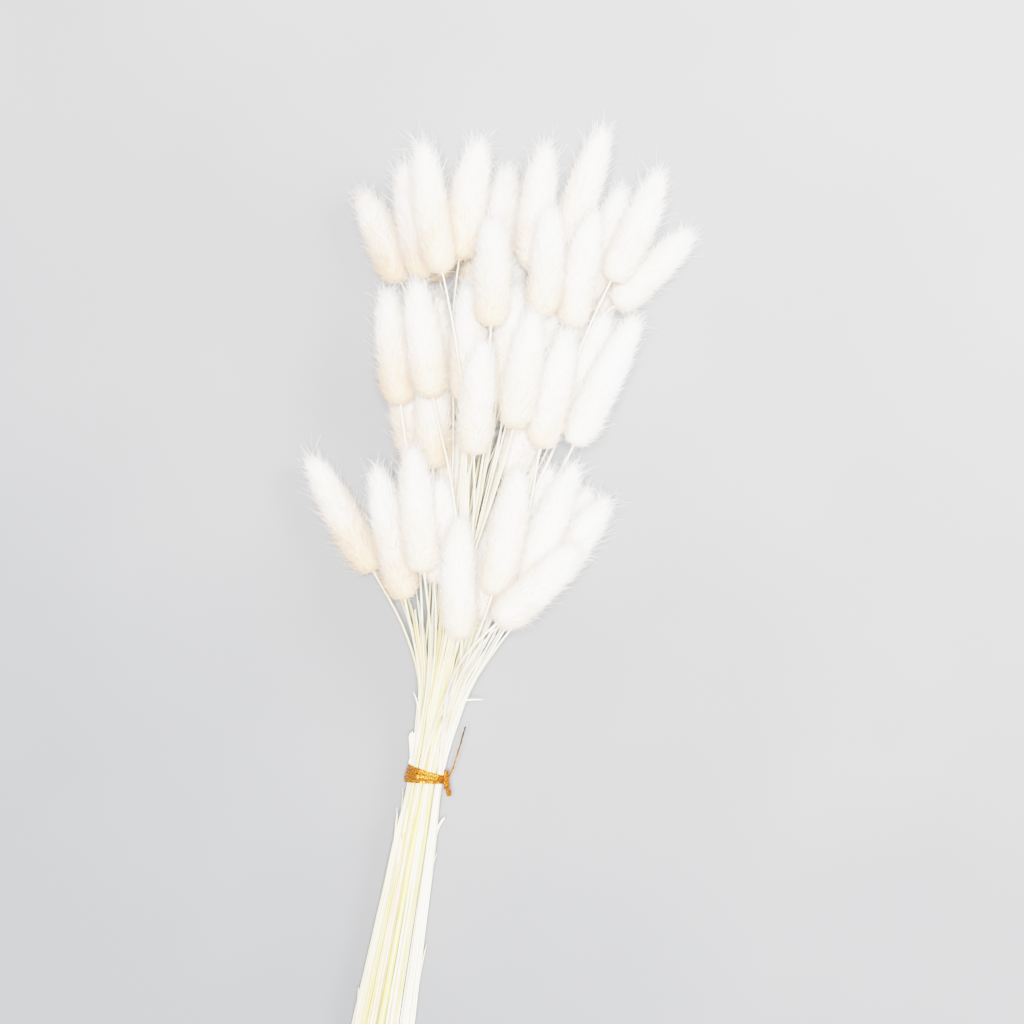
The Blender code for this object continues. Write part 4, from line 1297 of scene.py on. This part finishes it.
def make_stem_lines(members, draw):
    """One mesh of lines for a group of stems and the loose straws between them."""
    lines = [straw_line(stem_points(number), 1.0, 1.0, draw, bunch.tie[number, 0]) for number in members]
    pairs = [(a, b) for a in members for b in members if a < b and bunch.linked[a, b]]
    for first, second in pairs * STRAWS_BESIDE:
        points = straw_points(first, second, draw.uniform(*STRAW_PLACE), draw.uniform(*STRAW_REACH))
        lines.append(straw_line(points, STRAW_THIN, STRAW_TIP, draw, bunch.tie[first, 0]))
    edges, start = [], 0
    for points, _ in lines:
        edges.extend((start + k, start + k + 1) for k in range(len(points) - 1))
        start += len(points)
    places = np.concatenate([points for points, _ in lines])
    values = {name: np.concatenate([line[name] for _, line in lines]) for name in lines[0][1]}
    return mesh_from("lines", places, edges=edges, **values)


first_line = stem_points(0)
print("points on the first stem:", len(first_line), "length, mm:", round(np.ptp(first_line[:, 1]), 1))

# %% [markdown]
# Cut ends, sheaths and fibres.
#
# A cut straw is a tube, so each cut end is inset and sunk to show its wall and its hollow. The photo
# shows a few torn sheaths and fibres that stand off the bundle near the tie: the same straw, as thin
# curved blades that leave a stem at a small angle. The ones that show are listed one by one, with the
# side of the bundle that they leave, and a few more are drawn at random so that the back isn't bare.

# %% Cut ends and blades
STRAW_WALL = 0.38
STRAW_HOLLOW = 2.5 * MM
BLADE_POINTS = 9
BLADE_THICK = 0.16
BLADE_ARCH = 0.25
BLADE_VALUES = {"tone": 0.25, "own": 0.5, "free": 0.0, "thick": 0.0}
# How much of its outward way a blade keeps that faces up, and how far its stem runs on past it.
FACE_UP = 0.3
RUNS_ON = 30.0
BLUNT = 12.0
POINTED = 2.5
# Side of the bundle in degrees, from y, length, how far it stands off, width, shape of its tip.
BLADES_ON_SHOW = [
    (178, 3, 14, 1.5, 2.3, BLUNT), (150, 8, 10, 1.0, 1.4, BLUNT), (2, -24, 8, 2.6, 1.0, BLUNT),
    (12, 35, 2, 7.0, 0.8, POINTED), (172, 28, 7, 1.8, 0.7, POINTED), (40, 18, 12, 1.6, 1.1, BLUNT),
    (100, -30, 16, 1.3, 1.0, POINTED), (70, 26, 13, 1.4, 0.8, POINTED),
]
LOOSE_BLADES = 12
LOOSE_RANGES = [(20, 340), (-150, 50), (8, 20), (0.5, 2.5), (0.6, 1.5)]
STEM_SEED = 33


def open_cut_ends(piece):
    """Sinks the flat cap at each stem's cut end into a hollow."""
    shape = bmesh.new()
    shape.from_mesh(piece.data)
    caps = [face for face in shape.faces if len(face.verts) > 4 and face.normal.y < -0.9]
    wall = STRAW_WALL * STEM_RADIUS_CUT * MM
    bmesh.ops.inset_individual(shape, faces=caps, thickness=wall)
    made = bmesh.ops.extrude_discrete_faces(shape, faces=caps)
    for face in made["faces"]:
        bmesh.ops.translate(shape, verts=face.verts, vec=-face.normal * STRAW_HOLLOW)
    shape.to_mesh(piece.data)
    shape.free()
    return len(caps)


def loft(rings):
    """Faces for rings of points, closed at both ends; returns points and faces."""
    count, sides = rings.shape[:2]
    faces = [tuple(range(sides))[::-1], tuple((count - 1) * sides + k for k in range(sides))]
    for ring in range(count - 1):
        for side in range(sides):
            after = (side + 1) % sides
            low, high = ring * sides, (ring + 1) * sides
            faces.append((low + side, low + after, high + after, high + side))
    return rings.reshape(-1, 3), faces


def blade_rings(path, outward, width, tip):
    """A thin blade along a path, arched across; a high tip number keeps it wide to a blunt end."""
    ahead = unit(np.gradient(path, axis=0))
    across = unit(np.cross(ahead, outward))
    face = np.cross(across, ahead)
    share = np.linspace(0, 1, len(path))
    half = 0.5 * width * np.sqrt(np.clip(1 - share ** tip, 0.02, 1))[:, None]
    arch = BLADE_ARCH * half
    section = [(-1, -1, 0.5), (0, 0, 0.5), (1, -1, 0.5), (1, -1, -0.5), (0, 0, -0.5), (-1, -1, -0.5)]
    rows = [path + side * half * across + lift * arch * face + up * BLADE_THICK * face
            for side, lift, up in section]
    return np.stack(rows, 1)


def outer_stem(angle, along):
    """The stem that lies outermost in a direction round the bundle, of those that run on from there."""
    places = np.array([points_along(rings, np.array([along]))[0, [0, 2]] for rings in STEMS])
    outward = (places - places.mean(axis=0)) @ np.array([math.cos(angle), math.sin(angle)])
    return int(np.argmax(np.where(BASES[:, 1] > along + RUNS_ON, outward, -np.inf)))


def make_blade(angle, start, length, off, width, tip, face_up=False):
    """A dry blade that leaves the outermost stem on one side; returns the stem's number and a shape."""
    angle = math.radians(angle)
    number = outer_stem(angle, start)
    share = np.linspace(0, 1, BLADE_POINTS)
    outward = np.array([math.cos(angle), 0, math.sin(angle)])
    radius = stem_radius(start)
    lift = 0.5 * radius + (0.6 * radius + off) * share ** 1.7
    path = points_along(STEMS[number], start + length * share) + lift[:, None] * outward
    path[:, 2] = np.maximum(path[:, 2], 0.5 * width)
    facing = outward * FACE_UP + np.array([0, 0, 1]) if face_up else outward
    points, faces = loft(blade_rings(path, facing, width, tip))
    return number, points, faces


def add_blades(piece, blades):
    """Adds blades to a finished piece of stems, each turned right side out by itself."""
    shape = bmesh.new()
    shape.from_mesh(piece.data)
    for points, faces in blades:
        mesh = mesh_from("blade", points, faces, **BLADE_VALUES)
        shape.from_mesh(mesh)
        bmesh.ops.recalc_face_normals(shape, faces=shape.faces[-len(faces):])
        bpy.data.meshes.remove(mesh)
    shape.to_mesh(piece.data)
    shape.free()


stem_draw = np.random.default_rng(STEM_SEED)
blade_list = [make_blade(*row, face_up=True) for row in BLADES_ON_SHOW]
for _ in range(LOOSE_BLADES):
    sizes = [stem_draw.uniform(*ends) for ends in LOOSE_RANGES]
    blade_list.append(make_blade(*sizes, stem_draw.choice([BLUNT, POINTED])))
print("blades:", len(blade_list))

# %% [markdown]
# All the stems.
#
# Each group gets its lines, its culms, its opened ends and its blades, in that order: the hollows are
# found by the caps, which the blades would confuse. Edges sharper than STEM_EDGE stay crisp, which
# keeps the rims of the cut ends clean.

# %% Make the stems
STEM_EDGE = math.radians(50)


def make_stems(group, draw, blades):
    members = np.where(bunch.group == group)[0]
    lines = add_object("lines", make_stem_lines(members, draw))
    piece = grow(lines, "straws_%02d" % (group + 1), culm_tree, finish=bleached_straw)
    opened = open_cut_ends(piece)
    add_blades(piece, [blade for number, *blade in blades if number in members])
    piece.data.shade_smooth()
    piece.data.set_sharp_from_angle(angle=STEM_EDGE)
    return hand_over(piece, stem_nodes[group]), opened


made_stems = [make_stems(group, stem_draw, blade_list) for group in range(len(stem_nodes))]
print("stems:", sum(opened for _, opened in made_stems),
      "triangles:", sum(triangles(piece) for piece, _ in made_stems))

# %% [markdown]
# The finish of the tie.
#
# A twist tie is a thin wire between two strips of metal-coated film. The film here is a warm gold
# that has been pinched round the stems, so it is full of small creases: each catches the light as a
# bright yellow fleck, and a brown one beside it is painted shade. The big creases are in the mesh; the
# small ones are a bump from a cell pattern and a noise. The same pattern paints the film dark brown
# where it is creased, a painted shade and dark reflection, and the coating is rougher there. Its
# tinted lacquer also scatters light, so it is not quite a full metal. The long tail has lost its
# coating towards the tip, which an attribute named worn says.

# %% Foil material
FOIL_GOLD = (0.98, 0.33, 0.02, 1.0)
# Painted shade and dark reflection, painted into the creases of the film.
FOIL_CREASE_SHADE = (0.15, 0.04, 0.003, 1.0)
FOIL_WORN = (0.08, 0.045, 0.02, 1.0)
FOIL_METAL = 0.5
FOIL_ROUGH = (0.24, 0.5)
CREASE_SIZE = 0.9 * MM
SCRATCH_SIZE = CREASE_SIZE / 2.2
CREASE_WEIGHT, SCRATCH_WEIGHT = 1.6, 0.5
CREASE_STRENGTH = 0.9
CREASE_HEIGHT = 0.16 * MM
# The heights between which the film turns from its painted crease shade to gold.
GOLD_FROM, GOLD_TO = 0.26, 0.60


def make_foil_material():
    material, tree, shader = new_material("creased_foil")
    place = own_place(tree)
    cells = {"Vector": place, "Scale": 1 / CREASE_SIZE}
    cells = add_node(tree, "ShaderNodeTexVoronoi", cells, feature="DISTANCE_TO_EDGE").outputs["Distance"]
    scratches = noise(tree, place, SCRATCH_SIZE)
    height = maths(tree, "ADD", maths(tree, "MULTIPLY", cells, CREASE_WEIGHT),
                   maths(tree, "MULTIPLY", scratches, SCRATCH_WEIGHT))
    # Painted shade: the low places of the crease pattern are painted dark brown.
    gold_and_crease_shade = mix_colours(tree, FOIL_CREASE_SHADE, FOIL_GOLD, map_range(tree, height, GOLD_FROM, GOLD_TO))
    give(tree, shader, {
        "Base Color": mix_colours(tree, gold_and_crease_shade, FOIL_WORN, stored(tree, "worn")),
        "Normal": bump(tree, height, CREASE_STRENGTH, CREASE_HEIGHT),
        "Roughness": map_range(tree, scratches, 0.0, 1.0, *FOIL_ROUGH),
        "Metallic": FOIL_METAL})
    return material


creased_foil = make_foil_material()
print("material:", creased_foil.name)

# %% [markdown]
# The tie.
#
# The strip comes in as one tail, is twisted, goes round the stems twice, crosses itself at the right,
# is twisted with its own start and ends in the other tail. Each stretch is a ribbon swept along its
# path: its section is a flat lens with the wire as a ridge down the middle, and it is pinched narrow
# at the knot. Swept in code, the creases can be pressed into the ribbon as it is made. The sizes are
# those of the plain tie.

# %% Ribbon for the tie
STRIP_WIDTH = 4.0
STRIP_THICK = 0.32
STRIP_SECTION = np.array([-1, -0.62, -0.22, -0.09, 0, 0.09, 0.22, 0.62, 1])
WIRE_RIDGE = 0.34
WIRE_WIDTH = 0.12
CREASE_DEPTH = 0.22
CREASE_STEP = 0.33
# How fast each wave of creases runs along the strip, and how much it slants across.
CREASE_WAVES = ((1.0, 1.2), (1.7, -2.0), (2.9, 2.6))
CREASE_NOISE = 0.25
EDGE_NOISE = 0.05
SEAM_FADE = 6
TIE_GAP = 0.55
TURN_STEPS = 120
# How much each turn is tilted in degrees, where it lies along the stems, and its lift off them.
TURNS = [(-5.5, 0.95, 0.0), (5.5, -0.95, 0.42)]
PINCHED = 0.68
KNOT_ANGLE = math.radians(30)
KNOT_STANDOFF = 2.3
KNOT = np.array([
    (TIE_HALF[0] + KNOT_STANDOFF) * math.cos(KNOT_ANGLE), 0.4,
    TIE_HEIGHT + (TIE_HALF[1] + KNOT_STANDOFF) * math.sin(KNOT_ANGLE)])
KNOT_LONG = 7.0
KNOT_TURNS = 1.5
KNOT_STEPS = 28
KNOT_RADIUS = 0.75
KNOT_LEAN = ((65, "X"), (10, "Y"))
KNOT_WIDTH = 0.62 * STRIP_WIDTH
TAIL_WIDTH = 3.4
# Points of a tail, how far it is rolled and lifted in degrees, and how many steps it has.
LONG_TAIL = ([(0.0, 0.0), (1.6, 4.2), (2.7, 12.0), (4.2, 26.0)], 0.0, 22.0, 50)
SHORT_TAIL = ([(0.0, 0.0), (0.5, -3.0), (1.5, -7.0)], 40.0, -18.0, 18)
# Steps along the long tail, with its width there, and where its coating is worn off.
LONG_NARROWING = ((0, 12, 44, 49), (0.6, 1.0, 0.9, 0.35))
LONG_WEAR = ((20, 40), (0.0, 0.9))
LONG_FLATNESS = 0.6
SHORT_WIDTH = 0.8 * TAIL_WIDTH
TIE_EDGE = math.radians(60)
TIE_SEED = 8


def ribbon(path, across, width, draw, closed=False, flat=1.0, worn=0.0):
    """A creased strip along a path, flat towards across; returns points, faces and wear, in mm."""
    count = len(path)
    steps = np.arange(count)
    ahead = np.roll(path, -1, axis=0) - np.roll(path, 1, axis=0) if closed else np.gradient(path, axis=0)
    ahead = unit(ahead)
    across = unit(across - (across * ahead).sum(1)[:, None] * ahead)
    out = np.cross(across, ahead)
    ridge = flat * WIRE_RIDGE * np.exp(-(STRIP_SECTION / WIRE_WIDTH) ** 2)
    wave = sum(np.sin(k * steps[:, None] * CREASE_STEP + draw.uniform(0, 6) + STRIP_SECTION[None] * turn)
               for k, turn in CREASE_WAVES)
    noise_there = draw.normal(0, CREASE_NOISE, (count, len(STRIP_SECTION)))
    crease = flat * CREASE_DEPTH * (wave / len(CREASE_WAVES) + noise_there)
    if closed:
        crease *= np.clip(np.minimum(steps, steps[::-1])[:, None] / SEAM_FADE, 0, 1)
    edge = 1 + EDGE_NOISE * draw.normal(0, 1, count)
    half = 0.5 * np.broadcast_to(width, count) * edge
    base = path[:, None] + STRIP_SECTION[None, :, None] * half[:, None, None] * across[:, None]
    top = base + (crease + ridge[None] + 0.5 * STRIP_THICK)[..., None] * out[:, None]
    low = base + (crease - 0.5 * STRIP_THICK)[..., None] * out[:, None]
    rings = np.concatenate([top, low[:, ::-1]], 1)
    points, faces = loft(rings)
    sides = rings.shape[1]
    if closed:
        last = (count - 1) * sides
        faces = faces[2:]
        faces += [(last + k, last + (k + 1) % sides, (k + 1) % sides, k) for k in range(sides)]
    return points, faces, np.repeat(np.broadcast_to(worn, count), sides)


def turn_path(slant, offset, lift):
    """One turn round the stems, tilted so that the two turns part on the left and cross on the right."""
    angle = np.linspace(0, 2 * np.pi, TURN_STEPS, endpoint=False)
    half = TIE_HALF + TIE_GAP + lift
    x = half[0] * np.cos(angle)
    along = offset + math.tan(math.radians(slant)) * x
    path = np.stack([x, along, TIE_HEIGHT + half[1] * np.sin(angle)], 1)
    return path, np.tile([0.0, 1.0, 0.0], (TURN_STEPS, 1))


def turned(points, *turns):
    """Points turned about axes, each given by its degrees and name; the last turn is done first."""
    whole = Matrix.Identity(3)
    for degrees, axis in turns:
        whole = whole @ Matrix.Rotation(math.radians(degrees), 3, axis)
    return points @ np.array(whole).T


def twisted_path(phase):
    """One of the two strands that are twisted round each other at the knot."""
    along = np.linspace(-0.5, 0.5, KNOT_STEPS)
    turn = 2 * np.pi * KNOT_TURNS * along + phase
    radius = KNOT_RADIUS * (1 - 0.3 * np.abs(2 * along) ** 2)
    path = np.stack([radius * np.cos(turn), radius * np.sin(turn), KNOT_LONG * along], 1)
    across = np.stack([-np.sin(turn), np.cos(turn), 0 * turn], 1)
    return turned(path, *KNOT_LEAN) + KNOT, turned(across, *KNOT_LEAN)


def tail_path(points, turn, lift, steps):
    """A free end, standing on its edge, through its few points."""
    path = smooth_path(np.array([(x, y, 0.0) for x, y in points]), steps)
    lean = ((turn, "Y"), (lift, "X"))
    return turned(path, *lean) + KNOT, turned(np.tile([0.0, 0.0, 1.0], (steps, 1)), *lean)


trial = ribbon(*turn_path(*TURNS[0]), STRIP_WIDTH, np.random.default_rng(TIE_SEED), closed=True)
print("points in one turn:", len(trial[0]), "faces:", len(trial[1]))


# %% Make the tie
def make_tie(draw):
    strips = []
    for place in TURNS:
        path, across = turn_path(*place)
        pinch = np.interp(path[:, 0] / TIE_HALF[0], (-1, 1), (1.0, PINCHED))
        strips.append(ribbon(path, across, STRIP_WIDTH * pinch, draw, closed=True))
    for phase in (0.0, math.pi):
        strips.append(ribbon(*twisted_path(phase), KNOT_WIDTH, draw))
    steps = np.arange(LONG_TAIL[-1])
    narrow = TAIL_WIDTH * np.interp(steps, *LONG_NARROWING)
    worn = np.interp(steps, *LONG_WEAR)
    strips.append(ribbon(*tail_path(*LONG_TAIL), narrow, draw, flat=LONG_FLATNESS, worn=worn))
    strips.append(ribbon(*tail_path(*SHORT_TAIL), SHORT_WIDTH, draw))
    shape = bmesh.new()
    for points, faces, wear in strips:
        strip = mesh_from("strip", points, faces, worn=wear)
        shape.from_mesh(strip)
        bpy.data.meshes.remove(strip)
    bmesh.ops.recalc_face_normals(shape, faces=shape.faces)
    mesh = bpy.data.meshes.new("foil_tie")
    shape.to_mesh(mesh)
    shape.free()
    mesh.shade_smooth()
    mesh.set_sharp_from_angle(angle=TIE_EDGE)
    mesh.materials.append(creased_foil)
    return hand_over(add_object("foil_tie", mesh), "twist_tie")


tie = make_tie(np.random.default_rng(TIE_SEED))
print("tie triangles:", triangles(tie))

# %% [markdown]
# The last measure.
#
# The dressed model's box is printed beside the plain model's, so the two can be compared. Hair may
# stand a little proud of the solids, but the object keeps its size.

# %% Print the sizes and finish
visual_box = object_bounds()
sizes = {
    "cad": [list(corner) for corner in cad_box],
    "visual": [list(corner) for corner in visual_box],
}
for name, (low, high) in sizes.items():
    print(name, "size, mm:", [round((b - a) / MM, 1) for a, b in zip(low, high)])
